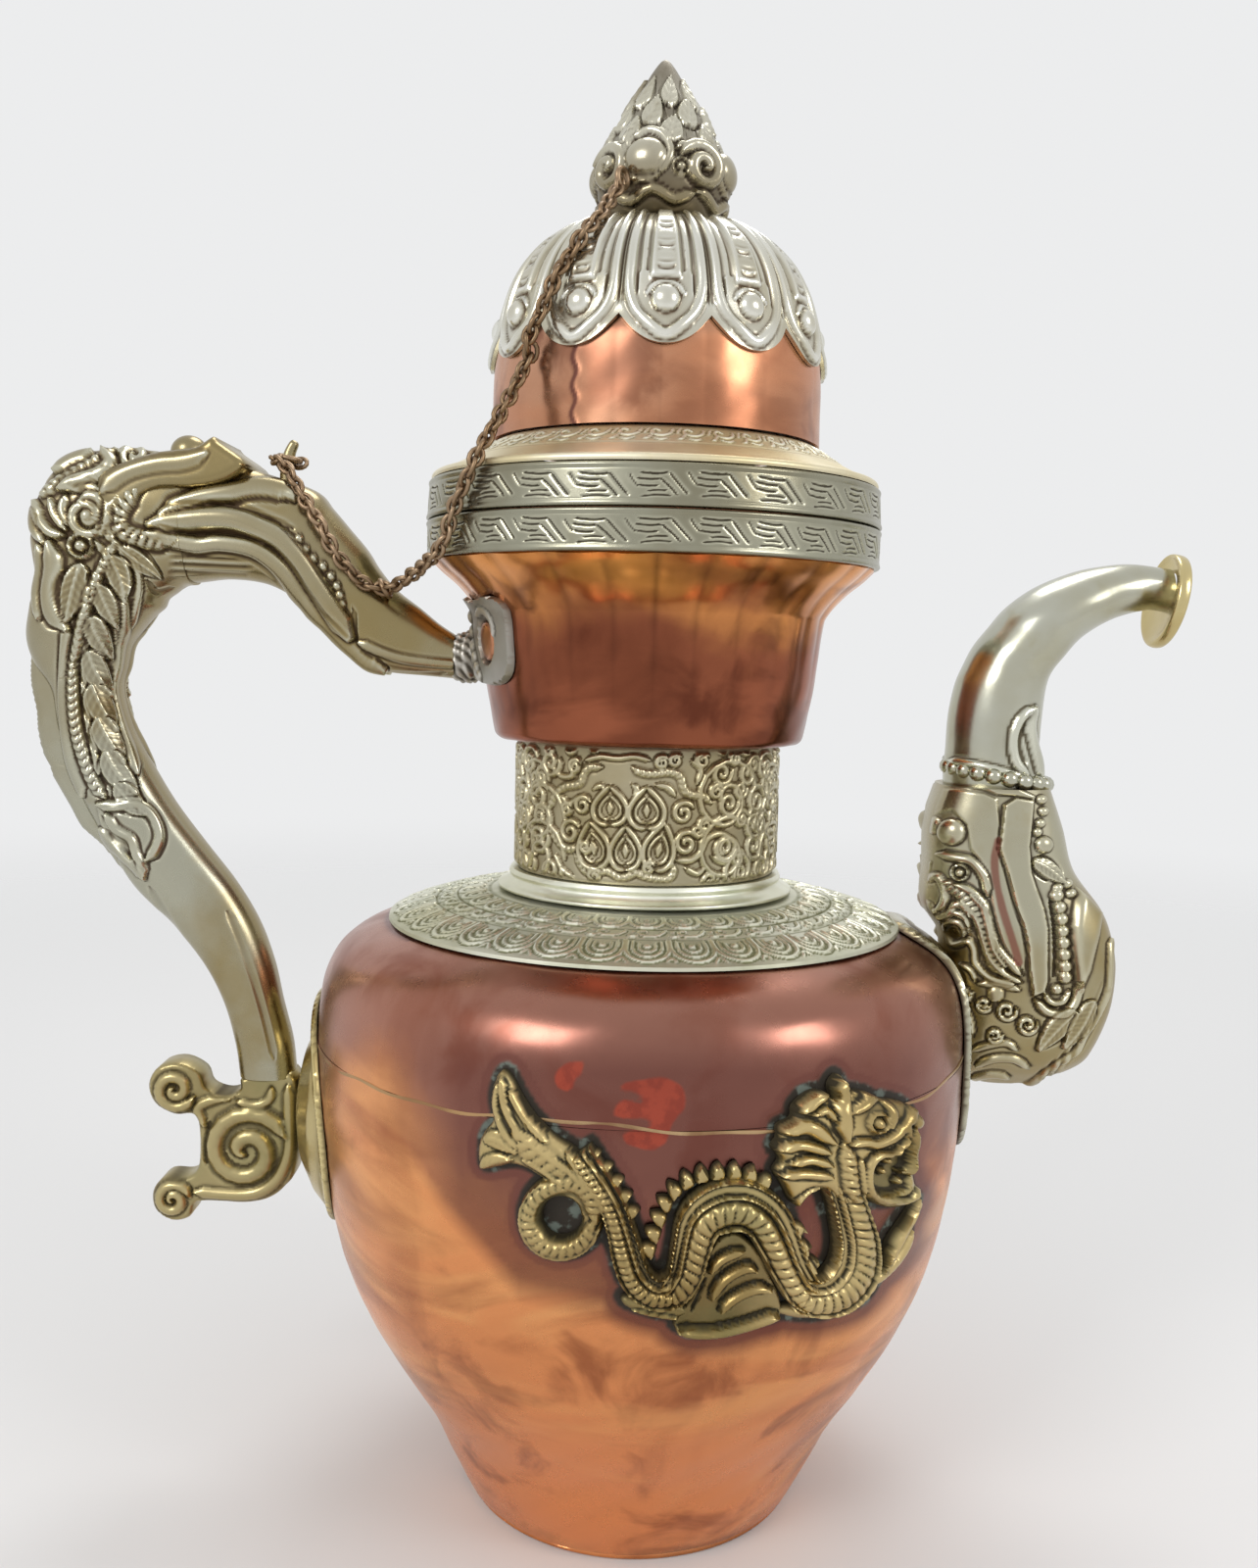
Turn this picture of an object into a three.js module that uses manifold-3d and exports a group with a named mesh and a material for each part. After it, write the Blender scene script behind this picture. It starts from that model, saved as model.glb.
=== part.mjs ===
// Tibetan ewer of hammered copper, bound in white metal and brass.
// Millimetres, +Z up. The origin is the middle of the foot, on the table.
// The handle lies along -X, the spout along +X, and the front faces -Y.

import * as THREE from 'three';
import { mergeVertices } from 'three/addons/utils/BufferGeometryUtils.js';
import Module from 'manifold-3d';

const solids = await Module();
solids.setup();

// Clearances and facets shared by all pieces
const fitGap = 0.3;
const cutOverrun = 4;
const ringSegments = 28;

// Belly
const footRadius = 42.6;
const footThickness = 1.6;
const copperWall = 1.6;
const bellyRadius = 82.1;
const seamWidth = 1.2;
const shoulderHeight = 154.4;
const upperBellyHeight = 35.6;
const shoulderPlateInset = 17.4;
const shoulderPlateThickness = 1;

// Neck
const neckRadius = 31;
const neckHeight = 39;
const neckDip = 3;
const neckSleeveThickness = 2.1;
const footRingRadius = 37.4;
const footRingHeight = 4.6;
const footRingWaist = 34.4;

// Cup
const cupFootRadius = 38.8;
const cupRidgeRadius = 44.4;
const cupRidgeHeight = 32.4;
const cupMouthRadius = 55.2;
const cupHeight = 43.2;
const bandRadius = 56.7;
const bandThickness = 2;
const rimBandHeight = 9.3;

// Lid
const lidBandHeight = 9.5;
const lidBandTaper = 0.6;
const flangeInset = 1.4;
const flangeRise = 8.7;
const flangeThickness = 1.1;
const domeRadius = 40.6;
const domeHeight = 51.9;
const domeWall = 1.4;
const lidSleeveDepth = 8.4;
const lidSleevePlay = 1.3;
const lidSleeveWall = 1.2;
const petalCount = 12;
const petalTipHeight = 17.4;
const petalNotch = 6.5;
const capThickness = 1.2;

// Finial
const finialRadius = 16.2;
const finialHeight = 39.6;
const finialBallRadius = 4.6;
const finialScrollRadius = 5.2;
const finialScrollDepth = 5;
const finialBallTurn = 16;
const finialScrollTurn = 38;
const tangRadius = 3;
const tangHeadRadius = 4.8;
const tangHeadHeight = 2;
const washerRadius = 9;
const washerThickness = 1.4;
const eyeRadius = 2.2;
const eyeWire = 0.75;

// Handle
const handleReach = 157;
const handleRise = 45.2;
const handleWall = 1.6;
const stemHalfWidth = 8.6;
const headHalfWidth = 12.5;
const trunkEndHalfWidth = 5.6;
const lipOverhang = 1;
const browRadius = 4.4;
const finThickness = 4.2;
const bossRadius = 30;
const bossRise = 6.2;
const bossDrop = 57.4;
const bracketHeight = 18.5;
const bracketHalfWidth = 5;
const bracketCoilRadius = 12.6;
const coilRelief = 1;
const voluteRadius = 6.6;
const smallVoluteRadius = 5.8;
const saddleThickness = 1.8;
const saddleHalfWidth = 14;
const saddleHalfHeight = 10.8;
const saddleHeight = 23.8;
const saddleAngle = 67;
const saddleStandOff = 6.2;
const saddleRivetRadius = 4.8;
const saddleRivetRise = 2.4;
const pinRadius = 1.6;
const pinHeight = 8.5;
const chainRadius = 1.55;
const chainGap = 0.5;

// Spout
const spoutReach = 128.4;
const spoutHeight = 133.4;
const spoutDrop = 47.2;
const spoutPlateHalfWidth = 26;
const spoutPlateHalfHeight = 31;
const spoutPlateDrop = 33.4;
const spoutPlateThickness = 1.6;
const spoutBore = 9.2;
const spoutBoreDrop = 21.4;
const spoutBoreReach = 20;
const spoutHeadHalfWidth = 17.5;
const spoutWall = 1.5;
const beadRingHeight = 5;
const beadRingThickness = 2.6;
const lipRadius = 11.8;
const lipThickness = 2.6;
const lipTilt = 10;

// Dragons
const dragonRelief = 4.6;
const dragonHeadRelief = 6.6;

// Heights and places that follow from the sizes above
const seamHeight = shoulderHeight - upperBellyHeight;
const seamLow = seamHeight - seamWidth / 2;
const seamHigh = seamHeight + seamWidth / 2;
const shoulderPlateRadius = bellyRadius - shoulderPlateInset;
const bossHeight = shoulderHeight - bossDrop;
const spoutPlateHeight = shoulderHeight - spoutPlateDrop;
const spoutBoreHeight = shoulderHeight - spoutBoreDrop;
const spoutLow = shoulderHeight - spoutDrop;
const spoutTop = spoutLow + spoutHeight;
const cupFloor = shoulderHeight + neckHeight;
const cupTop = cupFloor + cupHeight;
const rimBandLow = cupTop + fitGap;
const rimBandTop = rimBandLow + rimBandHeight;
const lidBandLow = rimBandTop + fitGap;
const lidBandTop = lidBandLow + lidBandHeight;
const flangeLow = lidBandTop + fitGap;
const flangeTop = flangeLow + flangeThickness + flangeRise;
const domeLow = flangeTop + fitGap;
const domeTop = domeLow + domeHeight;
const capTop = domeTop + fitGap + capThickness;
const finialLow = capTop + fitGap;

// Small helpers

function between(low, high, share) {
  return low + (high - low) * share;
}

function along(table, low, high, from, to) {
  return table.map(([heightShare, radiusShare]) => [
    between(from, to, radiusShare),
    between(low, high, heightShare),
  ]);
}

function toGeometry(solid) {
  const mesh = solid.getMesh();
  const geometry = new THREE.BufferGeometry();
  const positions = new Float32Array(mesh.numVert * 3);
  for (let i = 0; i < mesh.numVert; i += 1) {
    for (let axis = 0; axis < 3; axis += 1) {
      positions[i * 3 + axis] = mesh.vertProperties[i * mesh.numProp + axis];
    }
  }
  geometry.setAttribute('position', new THREE.BufferAttribute(positions, 3));
  geometry.setIndex(new THREE.BufferAttribute(new Uint32Array(mesh.triVerts), 1));
  return geometry;
}

function bare(geometry) {
  const copy = geometry.clone();
  copy.deleteAttribute('normal');
  copy.deleteAttribute('uv');
  return mergeVertices(copy);
}

function signedVolume(geometry) {
  const place = geometry.getAttribute('position');
  const index = geometry.getIndex();
  const [a, b, c] = [new THREE.Vector3(), new THREE.Vector3(), new THREE.Vector3()];
  let total = 0;
  for (let i = 0; i < index.count; i += 3) {
    a.fromBufferAttribute(place, index.getX(i));
    b.fromBufferAttribute(place, index.getX(i + 1));
    c.fromBufferAttribute(place, index.getX(i + 2));
    total += a.dot(b.cross(c)) / 6;
  }
  return total;
}

// Faces are turned to point out where the outline was drawn the other way round
function outward(geometry) {
  const closed = bare(geometry);
  if (signedVolume(closed) >= 0) {
    return closed;
  }
  const index = closed.getIndex();
  for (let i = 0; i < index.count; i += 3) {
    const second = index.getX(i + 1);
    index.setX(i + 1, index.getX(i + 2));
    index.setX(i + 2, second);
  }
  return closed;
}

function toSolid(geometry) {
  const closed = outward(geometry);
  return new solids.Manifold(new solids.Mesh({
    numProp: 3,
    vertProperties: new Float32Array(closed.getAttribute('position').array),
    triVerts: new Uint32Array(closed.getIndex().array),
  }));
}

// A ring or bowl turned about Z from points [radius, height]
function turned(points, segments = ringSegments) {
  const outline = points.map(([radius, height]) => new THREE.Vector2(radius, height));
  const [first, last] = [outline[0], outline[outline.length - 1]];
  if (first.x > 0 || last.x > 0) {
    outline.push(first.clone());
  }
  return new THREE.LatheGeometry(outline, segments).rotateX(Math.PI / 2);
}

// The same line moved sideways by a distance, to the outside where it is positive
function shifted(points, distance) {
  const side = (a, b) => {
    const direction = new THREE.Vector2(b[0] - a[0], b[1] - a[1]).normalize();
    return new THREE.Vector2(direction.y, -direction.x);
  };
  return points.map((point, i) => {
    const before = i > 0 ? side(points[i - 1], point) : side(point, points[i + 1]);
    const after = i < points.length - 1 ? side(point, points[i + 1]) : before;
    const normal = before.clone().add(after).normalize();
    const reach = distance / normal.dot(after);
    return [point[0] + normal.x * reach, point[1] + normal.y * reach];
  });
}

function everySecond(points) {
  return points.filter((point, i) => i % 2 === 0 || i === points.length - 1);
}

// A wall of even thickness inside an outer line
function walled(outer, wall) {
  return [...outer, ...shifted(everySecond(outer), -wall).reverse()];
}

function radiusOf(points, height) {
  for (let i = 1; i < points.length; i += 1) {
    const [a, b] = [points[i - 1], points[i]];
    if (height <= b[1]) {
      return between(a[0], b[0], (height - a[1]) / (b[1] - a[1]));
    }
  }
  return points[points.length - 1][0];
}

function heightOf(points, radius) {
  return radiusOf(points.map(([r, z]) => [z, -r]), -radius);
}

// A point at an angle in degrees from the front, turning towards the handle
function around(radius, angle, height) {
  const turn = THREE.MathUtils.degToRad(angle);
  return new THREE.Vector3(-radius * Math.sin(turn), -radius * Math.cos(turn), height);
}

function rod(radius, length, sides = 20) {
  return new THREE.CylinderGeometry(radius, radius, length, sides);
}

// A flat shape in the XZ plane with its thickness along Y
function slab(shape, halfWidth, curveSegments = 8) {
  const settings = { depth: halfWidth * 2, bevelEnabled: false, curveSegments };
  const geometry = new THREE.ExtrudeGeometry(shape, settings);
  return geometry.rotateX(Math.PI / 2).translate(0, halfWidth, 0);
}

function outline(points) {
  return new THREE.Shape(points.map(([x, z]) => new THREE.Vector2(x, z)));
}

function disc(radius, x, z) {
  return new THREE.Shape().absarc(x, z, radius, 0, Math.PI * 2, false);
}

// Cross-sections spanned between two edge points, with a half width along Y
function sectionRing(station, sides, roundness, wall) {
  const [outerX, outerZ, innerX, innerZ, halfWidth] = station;
  const middle = new THREE.Vector3((outerX + innerX) / 2, 0, (outerZ + innerZ) / 2);
  const half = new THREE.Vector3((outerX - innerX) / 2, 0, (outerZ - innerZ) / 2);
  half.setLength(half.length() - wall);
  const curve = (value) => Math.sign(value) * Math.abs(value) ** roundness;
  const ring = [];
  for (let i = 0; i < sides; i += 1) {
    const turn = ((i + 0.5) / sides) * Math.PI * 2;
    const point = middle.clone().addScaledVector(half, curve(Math.cos(turn)));
    point.y += (halfWidth - wall) * curve(Math.sin(turn));
    ring.push(point);
  }
  return ring;
}

function joinRings(rings, closed) {
  const sides = rings[0].length;
  const positions = rings.flat().flatMap((point) => point.toArray());
  const faces = [];
  const last = closed ? rings.length : rings.length - 1;
  for (let i = 0; i < last; i += 1) {
    const next = (i + 1) % rings.length;
    for (let k = 0; k < sides; k += 1) {
      const turn = (k + 1) % sides;
      const [a, b] = [i * sides + k, i * sides + turn];
      const [c, d] = [next * sides + turn, next * sides + k];
      faces.push(a, b, c, a, c, d);
    }
  }
  if (!closed) {
    const top = (rings.length - 1) * sides;
    for (let k = 1; k < sides - 1; k += 1) {
      faces.push(0, k + 1, k, top, top + k, top + k + 1);
    }
  }
  const geometry = new THREE.BufferGeometry();
  geometry.setAttribute('position', new THREE.Float32BufferAttribute(positions, 3));
  geometry.setIndex(faces);
  return outward(geometry);
}

function lofted(stations, sides = 12, roundness = 0.8, grow = 0) {
  return joinRings(stations.map((station) => sectionRing(station, sides, roundness, -grow)), false);
}

function loftedTube(stations, wall, sides = 12, roundness = 0.8) {
  const outer = stations.map((station) => sectionRing(station, sides, roundness, 0));
  const inner = stations.map((station) => sectionRing(station, sides, roundness, wall));
  return joinRings([...outer, ...inner.reverse()], true);
}

const finishes = {
  copper: new THREE.MeshStandardMaterial({ color: 0xb5613c, roughness: 0.28, metalness: 1 }),
  silver: new THREE.MeshStandardMaterial({ color: 0xa9a48c, roughness: 0.38, metalness: 1 }),
  brass: new THREE.MeshStandardMaterial({ color: 0xa98f4e, roughness: 0.42, metalness: 1 }),
  chain: new THREE.MeshStandardMaterial({ color: 0x6e5636, roughness: 0.5, metalness: 1 }),
};

const ewer = new THREE.Group();
ewer.name = 'tibetan_ewer';

function add(name, geometry, finish) {
  const mesh = new THREE.Mesh(geometry, finishes[finish]);
  mesh.name = name;
  ewer.add(mesh);
  return mesh;
}

// Belly: two raised halves on a flat foot, brazed together

const lowerBellyShares = [
  [0, 0.02], [0.078, 0.137], [0.19, 0.294], [0.302, 0.499], [0.422, 0.696],
  [0.551, 0.843], [0.715, 0.942], [0.87, 0.99], [1, 1],
];
const upperBellyShares = [
  [0, 1], [0.19, 0.994], [0.38, 0.975], [0.53, 0.935], [0.64, 0.875],
  [0.73, 0.78], [0.82, 0.62], [0.91, 0.41], [0.97, 0.2], [1, 0],
];
const footTop = footThickness + fitGap;
const neckHole = neckRadius + fitGap;
const lowerBelly = along(lowerBellyShares, footTop, seamLow - fitGap, footRadius, bellyRadius);
const upperBelly = along(upperBellyShares, seamHigh + fitGap, shoulderHeight, neckHole, bellyRadius);
const wholeBelly = [...lowerBelly, ...upperBelly];

// The space inside a line that lies a distance off the belly
function bellySpace(distance) {
  const line = shifted(wholeBelly, distance);
  const top = line[line.length - 1];
  const low = line[0];
  return toSolid(turned([[0, low[1] - cutOverrun], [low[0], low[1] - cutOverrun], ...line, [0, top[1]]]));
}

function bellyLayer(low, high) {
  return bellySpace(high).subtract(bellySpace(low));
}

add('base_plate', turned([[0, 0], [footRadius, 0], [footRadius, footThickness], [0, footThickness]]),
  'copper');
add('body_lower', turned(walled(lowerBelly, copperWall)), 'copper');
add('belly_seam', turned([
  [bellyRadius - copperWall, seamLow], [bellyRadius, seamLow],
  [bellyRadius, seamHigh], [bellyRadius - copperWall, seamHigh],
]), 'brass');

const boreRod = toSolid(rod(spoutBore, spoutBoreReach * 2).rotateZ(Math.PI / 2)
  .translate(bellyRadius, 0, spoutBoreHeight));
const upperWall = toSolid(turned(walled(upperBelly, copperWall)));
add('body_upper', toGeometry(upperWall.subtract(boreRod)), 'copper');

const plateInner = upperBelly.filter(([radius]) => radius < shoulderPlateRadius);
const plateEdgeHeight = heightOf(upperBelly, shoulderPlateRadius);
const plateOuter = [[shoulderPlateRadius, plateEdgeHeight], ...plateInner];
const plateLower = shifted(plateOuter, fitGap);
const plateUpper = shifted(plateOuter, fitGap + shoulderPlateThickness);
add('shoulder_plate', turned([...plateUpper, ...plateLower.reverse()]), 'silver');

// Neck: a copper tube in an embossed sleeve, on a moulded ring

const footRingLow = shoulderHeight + fitGap * 2 + shoulderPlateThickness;
const footRingTop = footRingLow + footRingHeight;
const footRingStep = footRingLow + footRingHeight / 2;
add('neck_tube', turned([
  [neckRadius - copperWall, shoulderHeight - neckDip], [neckRadius, shoulderHeight - neckDip],
  [neckRadius, cupFloor - fitGap], [neckRadius - copperWall, cupFloor - fitGap],
]), 'copper');
add('neck_foot_ring', turned([
  [neckHole, footRingLow], [footRingRadius, footRingLow], [footRingWaist, footRingStep],
  [footRingWaist, footRingTop], [neckHole, footRingTop],
]), 'silver');
add('neck_sleeve', turned([
  [neckHole, footRingTop + fitGap], [neckHole + neckSleeveThickness, footRingTop + fitGap],
  [neckHole + neckSleeveThickness, cupFloor - fitGap], [neckHole, cupFloor - fitGap],
]), 'silver');

// Cup: a straight taper that flares to its bound rim

const cupTaperShares = [[0.03, 0.02], [0.45, 0.47], [0.88, 0.77], [1, 1]];
const cupFlareShares = [[0.45, 0.38], [0.77, 0.76], [1, 1]];
const cupRidge = cupFloor + cupRidgeHeight;
const cupSide = [
  [cupFootRadius, cupFloor],
  ...along(cupTaperShares, cupFloor, cupRidge, cupFootRadius, cupRidgeRadius),
  ...along(cupFlareShares, cupRidge, cupTop, cupRidgeRadius, cupMouthRadius),
];
const cupFloorHole = neckRadius - copperWall;
add('cup', turned([
  [cupFloorHole, cupFloor], ...cupSide,
  ...everySecond(cupSide.slice(1)).reverse().map(([radius, height]) => [
    radius - copperWall, Math.max(height, cupFloor + copperWall),
  ]),
  [cupFloorHole, cupFloor + copperWall],
]), 'copper');
const bandInner = bandRadius - bandThickness;
add('rim_band', turned([
  [bandInner, rimBandLow], [bandRadius, rimBandLow],
  [bandRadius, rimBandTop], [bandInner, rimBandTop],
]), 'silver');

// Lid: band, sloping flange, dome and petal cap, with a collar that drops into the cup

add('lid_band', turned([
  [bandInner, lidBandLow], [bandRadius, lidBandLow],
  [bandRadius - lidBandTaper, lidBandTop], [bandInner, lidBandTop],
]), 'silver');
const sleeveRadius = bandInner - lidSleevePlay;
const flangeRadius = bandRadius - flangeInset;
const flangeFlat = sleeveRadius - lidSleeveWall;
add('lid_flange', turned([
  [flangeFlat, flangeLow], [flangeRadius, flangeLow], [flangeRadius, flangeLow + flangeThickness],
  [domeRadius, flangeTop], [domeRadius - domeWall, flangeTop],
  [domeRadius - domeWall, flangeTop - flangeThickness],
]), 'silver');
add('lid_sleeve', turned([
  [sleeveRadius - lidSleeveWall, lidBandLow - lidSleeveDepth],
  [sleeveRadius, lidBandLow - lidSleeveDepth],
  [sleeveRadius, lidBandTop], [sleeveRadius - lidSleeveWall, lidBandTop],
]), 'copper');

const domeShares = [
  [0, 1], [0.34, 0.99], [0.47, 0.945], [0.6, 0.9], [0.71, 0.845],
  [0.81, 0.76], [0.9, 0.63], [0.96, 0.45], [1, 0],
];
const tangHole = tangRadius + fitGap;
const domeLine = along(domeShares, domeLow, domeTop, tangHole, domeRadius);
add('lid_dome', turned(walled(domeLine, domeWall)), 'copper');

const capLine = shifted(domeLine, fitGap + capThickness);
const capTipHeight = domeLow + petalTipHeight;

function petalRim(angle) {
  const petal = ((angle / (Math.PI * 2)) * petalCount + 0.5) % 1;
  return capTipHeight + petalNotch * Math.abs(petal * 2 - 1);
}

// A thick crown whose lower face follows the petals' rims
function petalCrown() {
  const columns = petalCount * 2;
  const ring = (radius, height) => Array.from({ length: columns }, (_, i) => {
    const angle = (i / columns) * Math.PI * 2;
    return around(radius, THREE.MathUtils.radToDeg(angle), height(angle));
  });
  const top = () => capTop + cutOverrun;
  return joinRings([
    ring(tangHole / 2, petalRim), ring(bandRadius, petalRim),
    ring(bandRadius, top), ring(tangHole / 2, top),
  ], true);
}

const capShell = turned([...capLine, ...shifted(domeLine, fitGap).reverse()]);
add('lid_petal_cap', toGeometry(toSolid(capShell).intersect(toSolid(petalCrown()))), 'silver');

// Finial: a leafy jewel with balls and scrolls round its waist, held by a headed tang

const finialShares = [
  [0, 0.77], [0.08, 0.93], [0.23, 1], [0.33, 0.975], [0.43, 0.865], [0.54, 0.715],
  [0.66, 0.575], [0.78, 0.39], [0.9, 0.22], [0.99, 0.05], [1, 0],
];
const finialTop = finialLow + finialHeight;
const finialLine = along(finialShares, finialLow, finialTop, 0, finialRadius);
const finialWaist = finialLow + finialHeight * 0.32;
let finialSolid = toSolid(turned([[0, finialLow], ...finialLine], 16));
for (const quarter of [0, 90, 180, 270]) {
  const ball = new THREE.SphereGeometry(finialBallRadius, 8, 5);
  const ballPlace = around(finialRadius - finialBallRadius * 0.55, quarter + finialBallTurn,
    finialWaist);
  ball.translate(...ballPlace.toArray());
  const scroll = rod(finialScrollRadius, finialScrollDepth, 10);
  scroll.rotateZ(THREE.MathUtils.degToRad(finialScrollTurn - quarter));
  const scrollRadius = finialRadius - finialScrollDepth * 0.3;
  const scrollPlace = around(scrollRadius, quarter - finialScrollTurn,
    finialWaist - finialScrollRadius * 0.5);
  scroll.translate(...scrollPlace.toArray());
  finialSolid = finialSolid.add(toSolid(ball)).add(toSolid(scroll));
}
add('finial', toGeometry(finialSolid), 'silver');

const domeInside = everySecond(shifted(domeLine, -domeWall));
const washerTop = heightOf(domeInside, washerRadius) - fitGap;
const washerLow = washerTop - washerThickness;
add('tang_washer', turned([
  [tangHole, washerLow], [washerRadius, washerLow], [washerRadius, washerTop], [tangHole, washerTop],
], 20), 'copper');
add('finial_tang', turned([
  [0, washerLow - fitGap - tangHeadHeight], [tangHeadRadius, washerLow - fitGap - tangHeadHeight],
  [tangHeadRadius, washerLow - fitGap], [tangRadius, washerLow - fitGap],
  [tangRadius, finialLow - fitGap], [0, finialLow - fitGap],
], 16), 'copper');

const loopAngle = 31;
const loopHeight = finialLow + finialHeight * 0.16;
const loopRadius = radiusOf(finialLine, loopHeight);
const loopPlace = around(loopRadius + fitGap + eyeRadius + eyeWire, loopAngle, loopHeight);
add('finial_loop', new THREE.TorusGeometry(eyeRadius, eyeWire, 6, 12)
  .rotateX(Math.PI / 2).rotateZ(THREE.MathUtils.degToRad(90 - loopAngle))
  .translate(...loopPlace.toArray()), 'silver');

// Handle: the makara's head and snout, drawn as shares of the handle's own reach and height

const saddleMiddle = cupFloor + saddleHeight;
const handleTop = saddleMiddle + handleRise;
const saddleFace = radiusOf(cupSide, saddleMiddle) + saddleStandOff;
const trunkLow = saddleMiddle - saddleHalfHeight + fitGap * 4;
const faceX = (share) => -between(saddleFace + fitGap * 2, handleReach, share);
const faceZ = (share) => between(trunkLow, handleTop, share);

// Each row holds the upper edge's shares, the lower edge's shares and the half width's share
function faceStations(table) {
  return table.map(([upX, upZ, lowX, lowZ, width]) => [
    faceX(upX), faceZ(upZ), faceX(lowX), faceZ(lowZ),
    between(trunkEndHalfWidth, headHalfWidth, width),
  ]);
}

const trunkShares = [
  [0.608, 0.96, 0.608, 0.4, 0.95], [0.52, 0.95, 0.53, 0.43, 0.9], [0.44, 0.91, 0.44, 0.41, 0.8],
  [0.33, 0.84, 0.37, 0.34, 0.7], [0.29, 0.76, 0.33, 0.26, 0.62], [0.25, 0.67, 0.3, 0.21, 0.56],
  [0.21, 0.58, 0.27, 0.15, 0.5], [0.18, 0.49, 0.24, 0.1, 0.44], [0.14, 0.4, 0.2, 0.04, 0.38],
  [0.085, 0.32, 0.147, 0.02, 0.25], [0.04, 0.25, 0.07, 0.01, 0.12], [0, 0.2, 0, 0, 0],
];
const headShares = [
  [1, 0, 0.78, 0, 0.5], [1, 0.15, 0.765, 0.12, 0.7], [0.99, 0.29, 0.74, 0.19, 0.85],
  [0.977, 0.44, 0.714, 0.25, 0.95], [0.985, 0.625, 0.69, 0.29, 1], [0.96, 0.81, 0.68, 0.33, 1],
  [0.906, 0.94, 0.66, 0.36, 1], [0.83, 0.995, 0.647, 0.38, 1], [0.72, 1, 0.633, 0.395, 1],
  [0.614, 0.96, 0.614, 0.4, 0.95],
];
const trunkStations = faceStations(trunkShares);
const headStations = faceStations(headShares);
add('handle_trunk', loftedTube(trunkStations, handleWall), 'silver');
add('handle_head', loftedTube(headStations, handleWall), 'silver');

const faceSpace = toSolid(lofted(headStations, 12, 0.8, fitGap + handleWall * 0.1))
  .add(toSolid(lofted(trunkStations, 12, 0.8, fitGap + handleWall * 0.1)));
const lipShares = [
  [0.77, 0.88], [0.68, 0.96], [0.61, 0.985], [0.575, 1.0], [0.54, 1.045], [0.465, 0.92],
  [0.5, 0.86], [0.57, 0.82], [0.66, 0.81], [0.71, 0.76], [0.74, 0.71],
];
const lipOutline = outline(lipShares.map(([x, z]) => [faceX(x), faceZ(z)]));
const lipSlab = toSolid(slab(lipOutline, headHalfWidth + lipOverhang));
const browPlace = new THREE.Vector3(faceX(0.625), 0, faceZ(1.0));
const browSpace = toSolid(new THREE.SphereGeometry(browRadius + fitGap, 10, 8)
  .translate(...browPlace.toArray()));
const lipPieces = lipSlab.subtract(faceSpace).subtract(browSpace).decompose();
lipPieces.sort((a, b) => b.volume() - a.volume());
add('handle_lip', toGeometry(lipPieces[0]), 'silver');
const brow = toSolid(new THREE.SphereGeometry(browRadius, 10, 8)
  .translate(...browPlace.toArray()));
add('brow_knob', toGeometry(brow.subtract(faceSpace)), 'silver');

// Stem: from the head down to the bracket, with sheet fins along its back

const bracketRight = -(bellyRadius + bossRise + fitGap);
const bracketTop = bossHeight + bracketHeight * 0.35;
const stemLow = bracketTop + fitGap;
const stemTop = trunkLow - fitGap;
const stemX = (share) => -between(-bracketRight + fitGap * 3, handleReach, share);
const stemZ = (share) => between(stemLow, stemTop, share);
const stemShares = [
  [0.92, 1, 0.648, 1, 1], [0.91, 0.952, 0.66, 0.952, 1], [0.888, 0.856, 0.62, 0.856, 0.98],
  [0.85, 0.76, 0.545, 0.765, 0.96], [0.784, 0.663, 0.458, 0.673, 0.94],
  [0.7, 0.567, 0.346, 0.577, 0.92], [0.609, 0.471, 0.23, 0.481, 0.9],
  [0.46, 0.375, 0.143, 0.385, 0.88], [0.343, 0.279, 0.087, 0.285, 0.86],
  [0.269, 0.183, 0.052, 0.183, 0.84], [0.227, 0.082, 0.015, 0.087, 0.82],
  [0.209, 0, 0, 0, 0.82],
];
const stemStations = stemShares.map(([outX, outZ, inX, inZ, width]) => [
  stemX(outX), stemZ(outZ), stemX(inX), stemZ(inZ), stemHalfWidth * width,
]);
add('handle_stem', loftedTube(stemStations, handleWall), 'silver');

const stemSpace = toSolid(lofted(stemStations, 12, 0.8, fitGap));
const finUpperShares = [
  [0.993, 0.995], [0.985, 0.952], [0.965, 0.904], [0.968, 0.856], [0.963, 0.808],
  [0.945, 0.765], [0.8, 0.765], [0.86, 0.995],
];
const finLowerShares = [
  [0.935, 0.757], [0.89, 0.711], [0.853, 0.663], [0.815, 0.615], [0.733, 0.567],
  [0.64, 0.5], [0.6, 0.567], [0.75, 0.757],
];
for (const [name, shares] of [['mane_fin_upper', finUpperShares], ['mane_fin_lower', finLowerShares]]) {
  const fin = toSolid(slab(outline(shares.map(([x, z]) => [stemX(x), stemZ(z)])), finThickness));
  add(name, toGeometry(fin.subtract(stemSpace)), 'silver');
}

// Bracket with its coil and two volutes, on a domed boss

const bracketX = (share) => bracketRight - bracketCoilRadius * share;
const bracketZ = (share) => bossHeight - bracketCoilRadius * 0.95 + bracketCoilRadius * share;
const bracketShares = [
  [0, 1.46], [0, -0.32], [0.23, -0.8], [0.59, -1.07], [1.06, -1.16], [2.17, -1.18],
  [2.37, -1.4], [2.5, -1.13], [2.03, -0.56], [2.03, 0.51], [2.25, 0.63], [2.57, 1.5],
  [1.86, 1.7], [1.14, 1.23], [1.14, 1.46],
];
const bracketBody = toSolid(slab(outline(bracketShares.map(([x, z]) => [bracketX(x), bracketZ(z)])),
  bracketHalfWidth));
const coil = toSolid(slab(disc(bracketCoilRadius, bracketX(1.02), bracketZ(0)),
  bracketHalfWidth + coilRelief, 10));
const volute = toSolid(slab(disc(voluteRadius, bracketX(2.44), bracketZ(1.21)),
  bracketHalfWidth, 8));
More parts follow.
